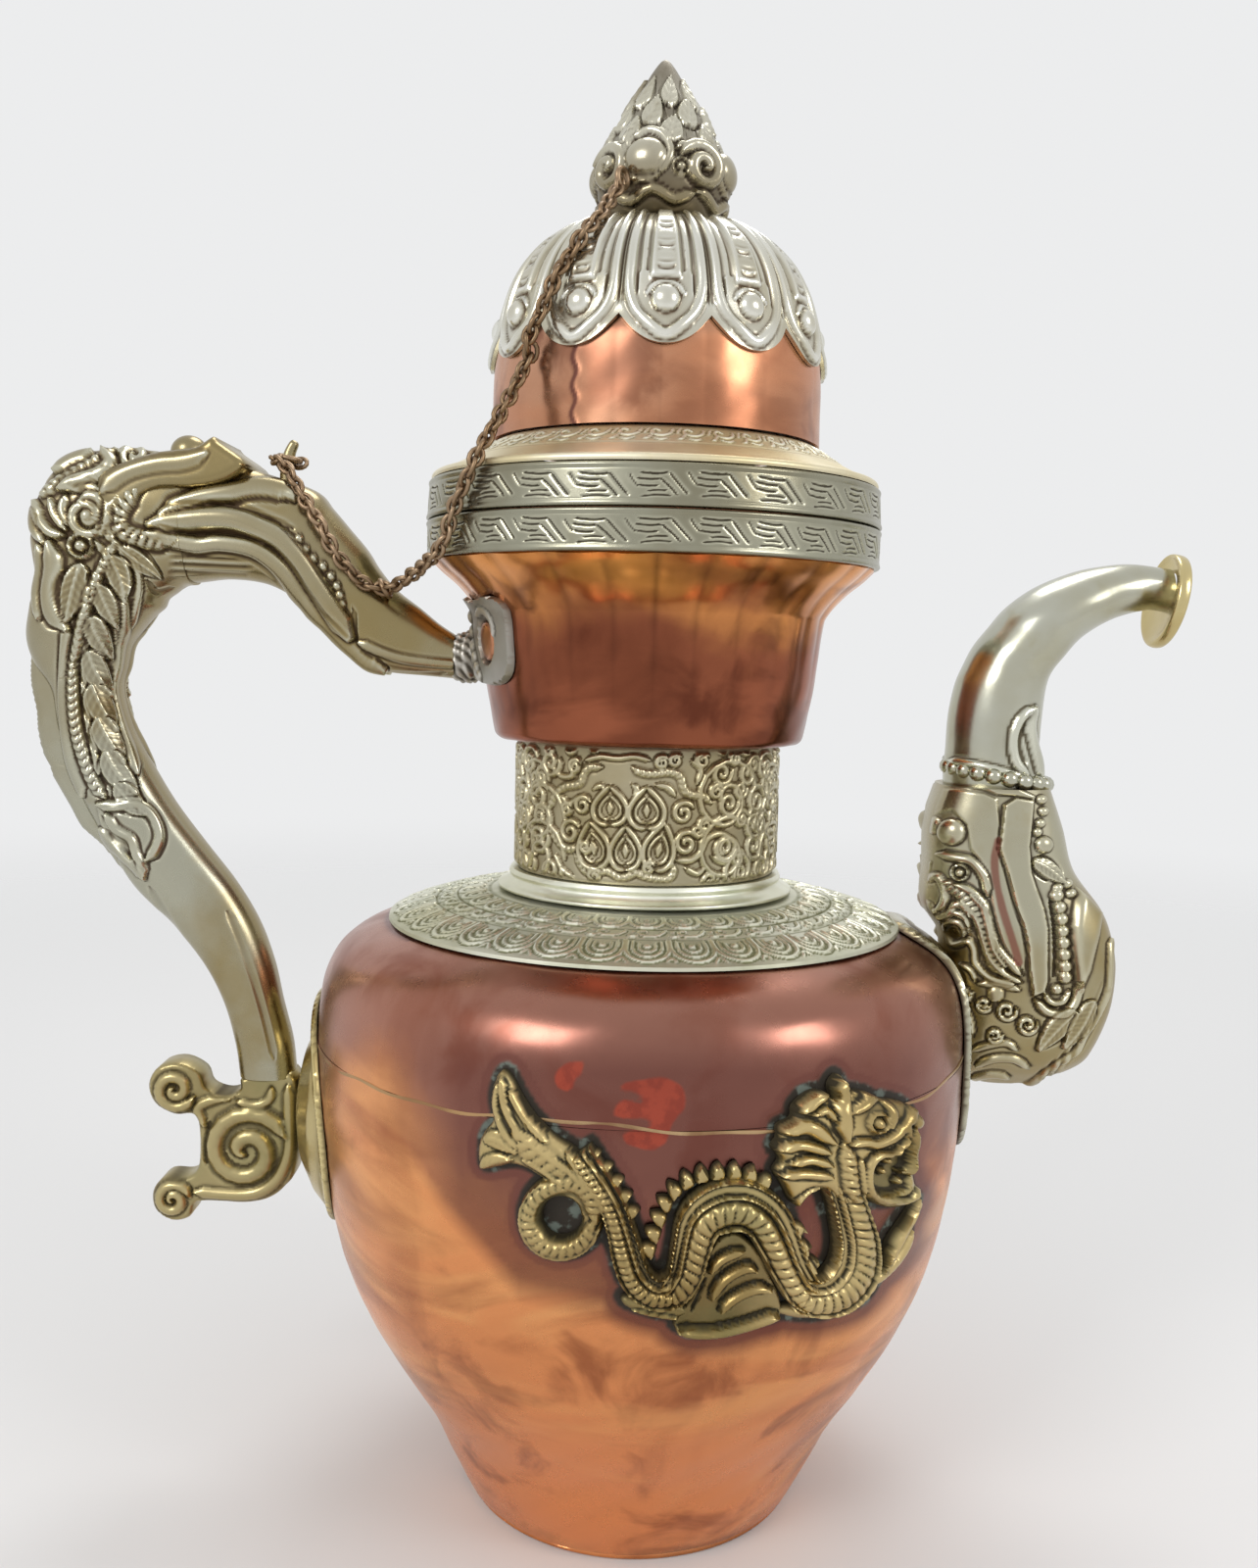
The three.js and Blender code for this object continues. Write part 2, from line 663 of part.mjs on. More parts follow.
const smallVolute = toSolid(slab(disc(smallVoluteRadius, bracketX(2.44), bracketZ(-1.13)),
  bracketHalfWidth, 8));
const bracketLimit = toSolid(new THREE.BoxGeometry(bellyRadius, bellyRadius, bellyRadius * 2)
  .translate(bracketRight + bellyRadius / 2, 0, bossHeight));
const stemFootColumn = toSolid(new THREE.BoxGeometry(bracketCoilRadius * 2.6, bellyRadius,
  bellyRadius).translate(bracketX(0), 0, bracketTop + bellyRadius / 2));
add('handle_scroll', toGeometry(bracketBody.add(coil).add(volute).add(smallVolute)
  .subtract(bracketLimit).subtract(stemFootColumn)), 'brass');

const bossFace = bellyRadius + bossRise;
const bossLow = bellyRadius * 0.86;
const bossShares = [[0, 1], [0.3, 0.955], [0.55, 0.84], [0.78, 0.62], [0.92, 0.4], [1, 0.18]];
const bossLine = bossShares.map(([radius, rise]) => [
  bossRadius * radius, between(bossLow, bossFace, rise),
]);
const bossLens = toSolid(turned([[0, bossLow - bossRadius], [bossRadius, bossLow - bossRadius],
  ...bossLine.reverse()], 28).rotateY(-Math.PI / 2).translate(0, 0, bossHeight));
const bellyNear = bellySpace(fitGap);
add('handle_boss', toGeometry(bossLens.subtract(bellyNear)), 'brass');

// Saddle: a plate bent round the cup with a round window each side of the snout

const cupSpace = (distance) => {
  const line = shifted(cupSide.slice(1), distance);
  const top = line[line.length - 1];
  return toSolid(turned([[0, cupFloor - cutOverrun], [line[0][0], cupFloor - cutOverrun], ...line,
    [top[0], top[1] + cutOverrun], [0, top[1] + cutOverrun]]));
};
const cupNear = cupSpace(fitGap);
const cupLayer = cupSpace(fitGap + saddleThickness).subtract(cupNear);

function radialRod(halfWidth, halfHeight, angle, length, sides) {
  const shape = rod(1, length, sides).scale(halfWidth, 1, halfHeight);
  const turn = THREE.MathUtils.degToRad(-angle);
  const place = around(length / 2, angle, saddleMiddle);
  return toSolid(shape.rotateZ(turn).translate(...place.toArray()));
}

const saddleLength = bandRadius;
const saddleBarHalf = trunkEndHalfWidth + fitGap * 2;
let saddle = toSolid(new THREE.BoxGeometry(saddleFace - cupFootRadius, saddleBarHalf * 2,
  saddleHalfHeight * 1.1).translate(-(saddleFace + cupFootRadius) / 2, 0,
  saddleMiddle - saddleHalfHeight * 0.4)).subtract(cupNear);
for (const angle of [saddleAngle, 180 - saddleAngle]) {
  const lobe = radialRod(saddleHalfWidth, saddleHalfHeight, angle, saddleLength, 16);
  const window = radialRod(saddleRivetRadius + fitGap, saddleRivetRadius + fitGap, angle,
    saddleLength, 14);
  saddle = saddle.add(lobe.intersect(cupLayer)).subtract(window);
}
add('handle_saddle', toGeometry(saddle), 'silver');
for (const [name, angle] of [['front', saddleAngle], ['back', 180 - saddleAngle]]) {
  const plug = radialRod(saddleRivetRadius, saddleRivetRadius, angle, saddleLength, 14);
  const rise = cupSpace(fitGap + saddleRivetRise);
  add(`saddle_rivet_${name}`, toGeometry(plug.intersect(rise).subtract(cupNear)), 'copper');
}

// Pin, eye and the two stretches of chain

const pinX = faceX(0.395);
const pinZ = faceZ(0.9);
const pinFoot = toSolid(rod(pinRadius, pinHeight, 10).rotateX(Math.PI / 2)
  .translate(pinX, 0, pinZ + pinHeight * 0.4));
const pinBall = toSolid(new THREE.SphereGeometry(pinRadius * 1.15, 10, 8)
  .translate(pinX, 0, pinZ + pinHeight * 0.9));
add('chain_pin', toGeometry(pinFoot.add(pinBall).subtract(faceSpace)), 'silver');
add('pin_ring', new THREE.TorusGeometry(pinRadius + eyeWire + fitGap, eyeWire, 6, 12)
  .translate(pinX, 0, pinZ + pinHeight * 0.52), 'chain');

const eyePlace = new THREE.Vector3(faceX(0.155), -trunkEndHalfWidth * 1.55, faceZ(0.4));
add('chain_eyelet', new THREE.TorusGeometry(eyeRadius, eyeWire, 6, 12)
  .rotateY(Math.PI / 3).translate(...eyePlace.toArray()), 'chain');

function chain(points, steps) {
  const path = new THREE.CatmullRomCurve3(points, false, 'centripetal');
  const section = new THREE.Shape().absarc(0, 0, chainRadius, 0, Math.PI * 2, false);
  const settings = { steps, bevelEnabled: false, curveSegments: 4, extrudePath: path };
  return outward(new THREE.ExtrudeGeometry(section, settings));
}

const chainOff = chainRadius + chainGap;
const chainLine = shifted(capLine, chainOff);
const onCap = (angle, share) => {
  const height = between(domeLow, domeTop, share);
  return around(radiusOf(chainLine, height), angle, height);
};
const onBand = (angle, share) => {
  return around(bandRadius + chainOff, angle, between(rimBandLow, lidBandTop, share));
};
const chainDrop = eyeRadius + eyeWire + chainOff;
const chainStart = loopPlace.clone().add(new THREE.Vector3(0, -eyeRadius, -chainDrop));
const chainUpperPoints = [
  chainStart,
  onCap(31, 1.02), onCap(29, 0.98), onCap(28.5, 0.93), onCap(30, 0.84), onCap(34, 0.73), onCap(36.6, 0.62),
  onCap(39.3, 0.48), onCap(43.3, 0.33),
  onBand(45, 1.09), onBand(47.8, 0.79), onBand(52.1, 0.45), onBand(55, 0.16),
  onBand(58.5, -0.05),
  eyePlace.clone().add(new THREE.Vector3(eyeRadius + chainOff, -chainOff, chainOff * 0.4)),
];
add('chain_upper', chain(chainUpperPoints, 30), 'chain');

const sidePoint = (x, z, width) => new THREE.Vector3(faceX(x),
  -between(trunkEndHalfWidth, headHalfWidth, width) - chainOff, faceZ(z));
const chainLowerPoints = [
  eyePlace.clone().add(new THREE.Vector3(-eyeRadius - chainOff, -chainOff, chainOff * 0.4)),
  sidePoint(0.2, 0.42, 0.4), sidePoint(0.24, 0.51, 0.44), sidePoint(0.275, 0.59, 0.5),
  sidePoint(0.3, 0.67, 0.55), sidePoint(0.33, 0.76, 0.5), sidePoint(0.36, 0.86, 0.3),
  new THREE.Vector3(pinX + chainOff * 0.5, -pinRadius * 2 - chainOff * 1.4,
    pinZ + pinHeight * 0.42),
];
add('chain_lower', chain(chainLowerPoints, 10), 'chain');

// Spout: the makara's head on a rimmed plate, swallowing a plain curved tube

const plateRod = toSolid(rod(1, bandRadius, 28).scale(spoutPlateHalfHeight, 1, spoutPlateHalfWidth)
  .rotateZ(Math.PI / 2).translate(bellyRadius, 0, spoutPlateHeight));
const plateLayer = bellyLayer(fitGap, fitGap + spoutPlateThickness);
const shoulderZone = toSolid(turned([
  [0, plateEdgeHeight - cutOverrun], [shoulderPlateRadius + fitGap, plateEdgeHeight - cutOverrun],
  [shoulderPlateRadius + fitGap, cupFloor], [0, cupFloor],
]));
add('spout_plate', toGeometry(plateRod.intersect(plateLayer).subtract(boreRod)
  .subtract(shoulderZone)), 'silver');

const spoutX = (share) => between(bellyRadius, spoutReach, share);
const spoutZ = (share) => between(spoutLow, spoutTop, share);
const rootShares = [
  [0.1, 0, 0.45, 0, 0.3], [-0.1, 0.035, 0.67, 0.04, 0.66], [-0.1, 0.08, 0.745, 0.08, 0.9],
  [-0.1, 0.155, 0.82, 0.155, 1], [-0.1, 0.23, 0.84, 0.23, 1], [-0.12, 0.29, 0.81, 0.29, 1],
  [-0.22, 0.345, 0.745, 0.345, 0.97], [-0.22, 0.42, 0.58, 0.42, 0.93],
  [-0.22, 0.5, 0.51, 0.5, 0.88], [-0.16, 0.575, 0.43, 0.575, 0.82],
];
const rootStations = rootShares.map(([leftX, leftZ, rightX, rightZ, width]) => [
  spoutX(leftX), spoutZ(leftZ), spoutX(rightX), spoutZ(rightZ), spoutHeadHalfWidth * width,
]);
const rootBoreShares = [
  [-0.02, 0.13, 0.74, 0.13, 1.3], [-0.02, 0.26, 0.74, 0.26, 1.3],
  [-0.15, 0.42, 0.5, 0.42, 1.25], [-0.06, 0.62, 0.34, 0.62, 1],
];
const rootBore = toSolid(lofted(rootBoreShares.map(([leftX, leftZ, rightX, rightZ, width]) => [
  spoutX(leftX), spoutZ(leftZ), spoutX(rightX), spoutZ(rightZ), spoutBore * width,
]), 12, 1));
const bellyOff = bellySpace(fitGap * 2 + spoutPlateThickness);
add('spout_root', toGeometry(toSolid(lofted(rootStations, 12, 0.72)).subtract(bellyOff)
  .subtract(boreRod).subtract(rootBore).subtract(shoulderZone)), 'silver');

const tubeShares = [
  [-0.1, 0.585, 0.405, 0.585], [-0.09, 0.65, 0.38, 0.65], [-0.085, 0.71, 0.385, 0.71],
  [-0.065, 0.765, 0.4, 0.765], [-0.035, 0.8, 0.43, 0.795], [0.01, 0.838, 0.49, 0.823],
  [0.08, 0.875, 0.56, 0.853], [0.17, 0.913, 0.64, 0.875], [0.32, 0.952, 0.73, 0.893],
  [0.52, 0.982, 0.82, 0.905], [0.7, 0.996, 0.91, 0.913], [0.85, 1, 0.96, 0.915],
  [0.995, 0.997, 0.998, 0.915],
];
const tubeStations = tubeShares.map(([upX, upZ, lowX, lowZ]) => {
  const [x1, z1, x2, z2] = [spoutX(upX), spoutZ(upZ), spoutX(lowX), spoutZ(lowZ)];
  return [x1, z1, x2, z2, Math.hypot(x2 - x1, z2 - z1) / 2];
});
add('spout_tube', loftedTube(tubeStations, spoutWall, 12, 1), 'silver');

const collarX = (tubeStations[0][0] + tubeStations[0][2]) / 2;
const collarInner = tubeStations[0][4] + fitGap;
const collarLow = spoutZ(0.575) + fitGap;
add('spout_bead_ring', turned([
  [collarInner, collarLow], [collarInner + beadRingThickness * 0.6, collarLow],
  [collarInner + beadRingThickness, collarLow + beadRingHeight / 2],
  [collarInner + beadRingThickness * 0.6, collarLow + beadRingHeight],
  [collarInner, collarLow + beadRingHeight],
], 20).translate(collarX, 0, 0), 'silver');

const tubeEnd = tubeStations[tubeStations.length - 1];
const tubeEndMiddle = (tubeEnd[1] + tubeEnd[3]) / 2;
const lipTurn = THREE.MathUtils.degToRad(lipTilt);
const lipDrop = lipRadius * 0.25;
const lipDisc = turned([
  [0, 0], [lipRadius * 0.7, 0], [lipRadius, lipThickness * 0.35],
  [lipRadius, lipThickness * 0.75], [lipRadius * 0.8, lipThickness], [0, lipThickness],
], 24).rotateY(Math.PI / 2 + lipTurn)
  .translate(tubeEnd[2] + fitGap + (tubeEnd[4] - lipDrop) * Math.tan(lipTurn), 0,
    tubeEndMiddle - lipDrop);
const lipBore = toSolid(rod(tubeEnd[4] - spoutWall, lipRadius * 2, 12).rotateZ(Math.PI / 2)
  .translate(tubeEnd[0], 0, tubeEndMiddle));
add('spout_lip', toGeometry(toSolid(lipDisc).subtract(lipBore)), 'brass');

// Dragons: flat castings bent to the belly, drawn in shares of the belly's radius

function ribbon(table) {
  const path = new THREE.SplineCurve(table.map(([x, z]) => new THREE.Vector2(x, z)));
  const steps = Math.ceil((table.length - 1) * 1.5);
  const [left, right] = [[], []];
  for (let i = 0; i <= steps; i += 1) {
    const share = i / steps;
    const point = path.getPoint(share);
    const direction = path.getTangent(share);
    const place = share * (table.length - 1);
    const low = Math.min(Math.floor(place), table.length - 2);
    const width = between(table[low][2], table[low + 1][2], place - low);
    left.push([point.x - direction.y * width, point.y + direction.x * width]);
    right.unshift([point.x + direction.y * width, point.y - direction.x * width]);
  }
  return [...left, ...right];
}

// Each row holds places across and up from the belly's widest line, then a half width
const dragonTailShares = [
  [-0.355, 0.12, 0.008], [-0.375, 0.03, 0.04], [-0.34, -0.07, 0.055], [-0.26, -0.09, 0.05],
  [-0.15, -0.1, 0.05],
];
const dragonBodyShares = [
  [-0.16, -0.1, 0.04], [-0.06, -0.24, 0.05], [-0.02, -0.38, 0.055], [0.06, -0.425, 0.058],
  [0.11, -0.3, 0.058], [0.14, -0.18, 0.058], [0.225, -0.14, 0.058], [0.3, -0.21, 0.058],
  [0.35, -0.34, 0.06], [0.45, -0.44, 0.062], [0.55, -0.39, 0.06], [0.565, -0.25, 0.05],
];
const dragonHeadShares = [
  [0.4, -0.1], [0.44, -0.02], [0.47, 0.14], [0.51, 0.03], [0.6, 0.06], [0.68, 0.025],
  [0.715, -0.04], [0.67, -0.14], [0.69, -0.22], [0.745, -0.29], [0.73, -0.42], [0.66, -0.5],
  [0.6, -0.4], [0.5, -0.33], [0.4, -0.22],
];
const dragonFootShares = [
  [0.07, -0.45], [0.12, -0.5], [0.2, -0.54], [0.33, -0.5], [0.32, -0.35], [0.22, -0.25],
  [0.12, -0.32],
];
const dragonZone = (points) => {
  const shape = outline(points.map(([x, z]) => [x * bellyRadius, seamHeight + z * bellyRadius]));
  return toSolid(slab(shape, bellyRadius / 2).translate(0, -bellyRadius / 2 - cutOverrun, 0));
};
const dragonLayer = bellySpace(fitGap + dragonRelief).subtract(bellyNear);
const dragonHeadLayer = bellySpace(fitGap + dragonHeadRelief).subtract(bellyNear);
const curlX = -0.2 * bellyRadius;
const curlZ = seamHeight - 0.22 * bellyRadius;
const curl = new THREE.Shape().absarc(curlX, curlZ, bellyRadius * 0.125, 0, Math.PI * 2, false);
curl.holes.push(new THREE.Path().absarc(curlX, curlZ, bellyRadius * 0.052, 0, Math.PI * 2, true));
const curlSolid = toSolid(slab(curl, bellyRadius / 2, 6)
  .translate(0, -bellyRadius / 2 - cutOverrun, 0));
const dragon = dragonZone(ribbon(dragonTailShares)).add(dragonZone(ribbon(dragonBodyShares)))
  .add(curlSolid).add(dragonZone(dragonFootShares)).intersect(dragonLayer)
  .add(dragonZone(dragonHeadShares).intersect(dragonHeadLayer));
add('dragon_front', toGeometry(dragon), 'brass');
add('dragon_back', toGeometry(dragon).rotateZ(Math.PI), 'brass');

export default ewer;
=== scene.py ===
# %% [markdown]
# # A Tibetan ewer of copper and white metal
# This lesson dresses a hammered copper ewer. The solids that set every size are loaded first. Each
# later cell makes one piece or one finish in fine mesh, in the same place and at the same size.

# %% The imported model
import math

import bpy
import numpy as np
from mathutils import Matrix, Vector


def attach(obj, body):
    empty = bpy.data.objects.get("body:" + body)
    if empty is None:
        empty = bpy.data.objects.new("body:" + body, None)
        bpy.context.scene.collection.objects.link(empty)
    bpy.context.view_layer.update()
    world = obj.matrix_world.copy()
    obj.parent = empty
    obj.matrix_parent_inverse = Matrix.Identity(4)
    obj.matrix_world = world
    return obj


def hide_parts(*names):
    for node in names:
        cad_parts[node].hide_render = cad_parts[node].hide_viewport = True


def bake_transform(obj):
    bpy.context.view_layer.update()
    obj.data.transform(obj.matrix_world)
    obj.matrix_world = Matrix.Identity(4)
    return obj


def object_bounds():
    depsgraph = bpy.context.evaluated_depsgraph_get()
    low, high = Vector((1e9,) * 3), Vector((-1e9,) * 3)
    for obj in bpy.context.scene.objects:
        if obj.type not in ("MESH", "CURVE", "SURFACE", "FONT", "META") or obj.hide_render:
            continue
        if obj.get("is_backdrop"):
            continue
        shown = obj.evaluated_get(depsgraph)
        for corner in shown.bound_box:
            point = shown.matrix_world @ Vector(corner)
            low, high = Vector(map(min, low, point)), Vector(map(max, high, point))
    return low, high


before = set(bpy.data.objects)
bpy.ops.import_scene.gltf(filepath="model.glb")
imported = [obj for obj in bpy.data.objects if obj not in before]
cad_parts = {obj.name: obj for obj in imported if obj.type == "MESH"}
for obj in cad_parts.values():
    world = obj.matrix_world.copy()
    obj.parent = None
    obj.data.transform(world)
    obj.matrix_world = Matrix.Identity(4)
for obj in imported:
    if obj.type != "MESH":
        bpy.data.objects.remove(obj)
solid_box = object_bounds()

MM = 0.001
scene = bpy.context.scene

# %% [markdown]
# ## The camera
# The camera stands a forearm's length in front of the belly, a little above its middle, and looks
# slightly down. It comes first, because many chased lines below are given by the place in the
# picture at which they are seen, and the camera turns such a place into a place on the metal.

# %% Camera
PICTURE_WIDTH, PICTURE_HEIGHT = 1284, 1600
FOCAL_PIXELS = 1450
SENSOR_MM = 36
CAMERA_PLACE = np.array([-6.57, -362.35, 215.63])
YAW, PITCH, ROLL = 0.0055, 0.0932, 0.0249


def unit(vectors):
    """Vectors brought to a length of one."""
    return vectors / np.linalg.norm(vectors, axis=-1, keepdims=True)


def camera_axes():
    """The camera's right, up and forward directions."""
    right = np.array([math.cos(YAW), -math.sin(YAW), 0])
    ahead = np.array([math.sin(YAW) * math.cos(PITCH), math.cos(YAW) * math.cos(PITCH), -math.sin(PITCH)])
    up = np.cross(right, ahead)
    turned_right = right * math.cos(ROLL) + up * math.sin(ROLL)
    turned_up = up * math.cos(ROLL) - right * math.sin(ROLL)
    return turned_right, turned_up, ahead


CAMERA_RIGHT, CAMERA_UP, CAMERA_AHEAD = camera_axes()


def to_picture(points):
    """Where points in millimetres are seen, in pixels of the picture."""
    away = np.asarray(points) - CAMERA_PLACE
    depth = away @ CAMERA_AHEAD
    across = PICTURE_WIDTH / 2 + FOCAL_PIXELS * (away @ CAMERA_RIGHT) / depth
    down = PICTURE_HEIGHT / 2 - FOCAL_PIXELS * (away @ CAMERA_UP) / depth
    return np.stack([across, down], axis=1)


def sight_lines(pixels):
    """Unit directions from the camera through pixels of the picture."""
    pixels = np.asarray(pixels, float)
    across = (pixels[:, :1] - PICTURE_WIDTH / 2) / FOCAL_PIXELS
    down = (pixels[:, 1:2] - PICTURE_HEIGHT / 2) / FOCAL_PIXELS
    return unit(CAMERA_AHEAD + across * CAMERA_RIGHT - down * CAMERA_UP)


camera = bpy.data.objects.new("camera", bpy.data.cameras.new("camera"))
scene.collection.objects.link(camera)
camera.data.sensor_fit = "VERTICAL"
camera.data.sensor_height = SENSOR_MM
camera.data.lens = FOCAL_PIXELS / PICTURE_HEIGHT * SENSOR_MM
camera.data.clip_start = 0.01
turn = Matrix([CAMERA_RIGHT, CAMERA_UP, -CAMERA_AHEAD]).transposed().to_4x4()
camera.matrix_world = Matrix.Translation(Vector(CAMERA_PLACE * MM)) @ turn
scene.camera = camera
print("lens", round(camera.data.lens, 3), "mm")

# %% [markdown]
# ## Lines, sheets and closed skins
# A hand-made vessel is mostly turned, raised or bent sheet. A line through a few measured points is
# made smooth, walked at even steps, and swept into a closed skin whose points numpy works out all
# at once. A skin that comes out with its faces inwards is turned over by the sign of its volume.

# %% Lines
def between(low, high, share):
    return low + (high - low) * share


def full_turn(count):
    """Even angles once round."""
    return np.linspace(0, 2 * math.pi, count, endpoint=False)


def smooth_line(points, steps=8):
    """A soft curve through every point, with `steps` short steps between neighbours."""
    line = np.array(points, float)
    line = np.vstack([2 * line[0] - line[1], line, 2 * line[-1] - line[-2]])
    share = np.linspace(0, 1, steps, endpoint=False)[:, None]
    parts = []
    for i in range(1, len(line) - 2):
        a, b, c, d = line[i - 1:i + 3]
        parts.append(0.5 * (2 * b + (c - a) * share + (2 * a - 5 * b + 4 * c - d) * share ** 2
                            + (3 * b - a - 3 * c + d) * share ** 3))
    return np.vstack(parts + [line[-2:-1]])


def lengths_along(line):
    """How far along a line each of its points lies."""
    return np.concatenate([[0], np.cumsum(np.linalg.norm(np.diff(line, axis=0), axis=1))])


def read_line(at, walked, line):
    """The places on a line at the lengths `at`, where its own points lie at `walked`."""
    return np.stack([np.interp(at, walked, column) for column in line.T], axis=1)


def even_line(points, gap):
    """The same line with points about `gap` apart."""
    line = np.array(points, float)
    walked = lengths_along(line)
    count = max(2, int(round(walked[-1] / gap)) + 1)
    return read_line(np.linspace(0, walked[-1], count), walked, line)


def along(shares, low, high, start, end):
    """Rows of (height share, radius share) turned into radius and height."""
    return [(between(start, end, radius), between(low, high, height)) for height, radius in shares]


def line_normals(line):
    """Unit directions away from the axis along a line of radius and height that runs upwards."""
    slope = np.gradient(line, axis=0)
    return unit(np.stack([slope[:, 1], -slope[:, 0]], axis=1))


def offset_line(line, distance):
    """A radius and height line moved outwards, or inwards where the distance is negative."""
    line = np.array(line, float)
    return line + line_normals(line) * distance


# %% Skins
CREASE_DEGREES = 50
SOFTENING_ROUNDS = 5


def sheet_faces(rows, columns, round_rows=False):
    """Faces of a sheet whose rows are rings, with the last row joined to the first if asked."""
    row = np.arange(rows if round_rows else rows - 1)[:, None]
    column = np.arange(columns)[None, :]
    below, beside = (row + 1) % rows, (column + 1) % columns
    corners = [row * columns + column, row * columns + beside, below * columns + beside,
               below * columns + column]
    return np.stack([np.broadcast_to(c, (row.size, column.size)).ravel() for c in corners], axis=1)


def capped(faces, rows, columns):
    """The sheet's faces as lists, with its first and last rows closed."""
    first = list(range(columns))
    last = [(rows - 1) * columns + i for i in range(columns)]
    return faces.tolist() + [first[::-1], last]


def by_corners(faces):
    """The faces as one array for each number of corners."""
    sizes = np.array([len(face) for face in faces])
    return [np.array([face for face in faces if len(face) == size]) for size in np.unique(sizes)]


def turned_out(points, faces):
    """The faces of a closed skin, reversed where they point inwards."""
    volume = 0.0
    for group in by_corners(faces):
        for i in range(1, group.shape[1] - 1):
            a, b, c = points[group[:, 0]], points[group[:, i]], points[group[:, i + 1]]
            volume += (a * np.cross(b, c)).sum()
    return faces if volume > 0 else [face[::-1] for face in faces]


def hollows(faces, rise, depth):
    """How far each point lies below the work round it: 1 in a recess, -1 on a ridge."""
    count = len(rise)
    pairs = [np.stack([group[:, i - 1], group[:, i]], axis=1) for group in by_corners(faces)
             if group.shape[1] < 9 for i in range(group.shape[1])]
    starts, ends = np.vstack(pairs).T
    touching = np.maximum(np.bincount(ends, minlength=count) + np.bincount(starts, minlength=count), 1)
    soft = rise.copy()
    for _ in range(SOFTENING_ROUNDS):
        total = np.bincount(ends, soft[starts], count) + np.bincount(starts, soft[ends], count)
        soft = (soft + total / touching) / 2
    return np.clip((soft - rise) / depth, -1, 1)


def store_values(mesh, name, values):
    mesh.attributes.new(name, "FLOAT", "POINT").data.foreach_set("value", values)


def place_piece(name, mesh, body, nodes):
    """Puts a mesh in the scene, where it rides on a body and stands for the named nodes."""
    made = bpy.data.objects.new(name, mesh)
    scene.collection.objects.link(made)
    if body:
        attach(made, body)
    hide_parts(*nodes)
    print(name, len(mesh.polygons), "faces")
    return made


def add_piece(name, points, faces, finish, body, nodes, rise=None, depth=0.22, dirt=None, grime=None):
    """A piece made of a closed skin; `rise`, `dirt` and `grime` say how each point is worn."""
    faces = turned_out(points, faces.tolist() if isinstance(faces, np.ndarray) else faces)
    mesh = bpy.data.meshes.new(name)
    mesh.from_pydata((points * MM).tolist(), [], faces)
    mesh.shade_smooth()
    mesh.set_sharp_from_angle(angle=math.radians(CREASE_DEGREES))
    worn = np.zeros(len(points)) if rise is None else hollows(faces, rise, depth)
    store_values(mesh, "hollow", worn if dirt is None else np.maximum(worn, dirt))
    if grime is not None:
        store_values(mesh, "grime", grime)
    mesh.materials.append(finish)
    return place_piece(name, mesh, body, nodes)


def turned_points(line, angle):
    """Points of a line of radius and height at each angle; angles run from the front to the handle."""
    line = np.array(line, float)
    return np.stack([-line[:, :1] * np.sin(angle), -line[:, :1] * np.cos(angle),
                     np.broadcast_to(line[:, 1:2], (len(line), len(angle)))], axis=2).reshape(-1, 3)


def turned_piece(name, outer, inner, finish, nodes, body="vessel", segments=180, work=None, ground=0.0,
                 stains=None, depth=0.22):
    """A turned wall. Both lines run upwards; without an inner line the piece is solid.

    `work` takes points, degrees, radii and heights of the outer skin and gives its rise, `ground` is
    the dirt between chased work, and `stains` gives the stain at each point.
    """
    outer = np.array(outer, float)
    inner = np.zeros((0, 2)) if inner is None else np.array(inner, float)[::-1]
    line = np.vstack([outer, inner])
    angle = full_turn(segments)
    points = turned_points(line, angle)
    rise = np.zeros(len(points))
    if work is not None:
        out = turned_points(line_normals(outer), angle)
        count = len(out)
        rise[:count] = work(points[:count], np.tile(np.degrees(angle), len(outer)),
                            np.repeat(outer[:, 0], segments), np.repeat(outer[:, 1], segments))
        points[:count] += out * rise[:count, None]
    faces = sheet_faces(len(line), segments, round_rows=len(inner) > 0)
    if len(inner) == 0:
        faces = capped(faces, len(line), segments)
    dirt = ground * np.clip(1 - rise / 0.3, 0, 1) if ground else None
    grime = stains(points) if stains else None
    return add_piece(name, points, faces, finish, body, nodes, rise, depth, dirt, grime)


def inner_wall(line, wall):
    """The inner side of a wall, with few points because nothing is chased there."""
    inner = offset_line(line, -wall)
    return np.vstack([inner[:-1:5], inner[-1:]])


# %% [markdown]
# ## Chased and raised lines
# The ornament is chased: a smith pushes the sheet out from behind and cuts lines in from the front.
# It could be painted as a bump, but the real ridges cast shadows and stand out at the edges, so each
# stroke of the chisel moves fine points of the skin. A stroke is a kind, a half width, a height in
# millimetres and the points of its line. The same strokes work in pixels of the picture, where
# a piece was looked at, and in millimetres on a flat tile that repeats round a band. They are
# written as plain text, because hundreds of short lines are easier to read and to change that way.

# %% Strokes written as text
def read_points(text):
    """Points from text such as "3,4 5,6"."""
    return [tuple(float(number) for number in word.split(",")) for word in text.split()]


def read_strokes(text):
    """Strokes from text such as "ridge 5 1.2 3,4 5,6": a kind, its numbers and its points."""
    found = []
    for word in text.split():
        if word.isalpha():
            found.append((word, [], []))
        elif "," in word:
            found[-1][2].extend(read_points(word))
        else:
            found[-1][1].append(float(word))
    return [(kind, *numbers, points) for kind, numbers, points in found]


print(read_strokes("ridge 5 1.2 3,4 5,6"))

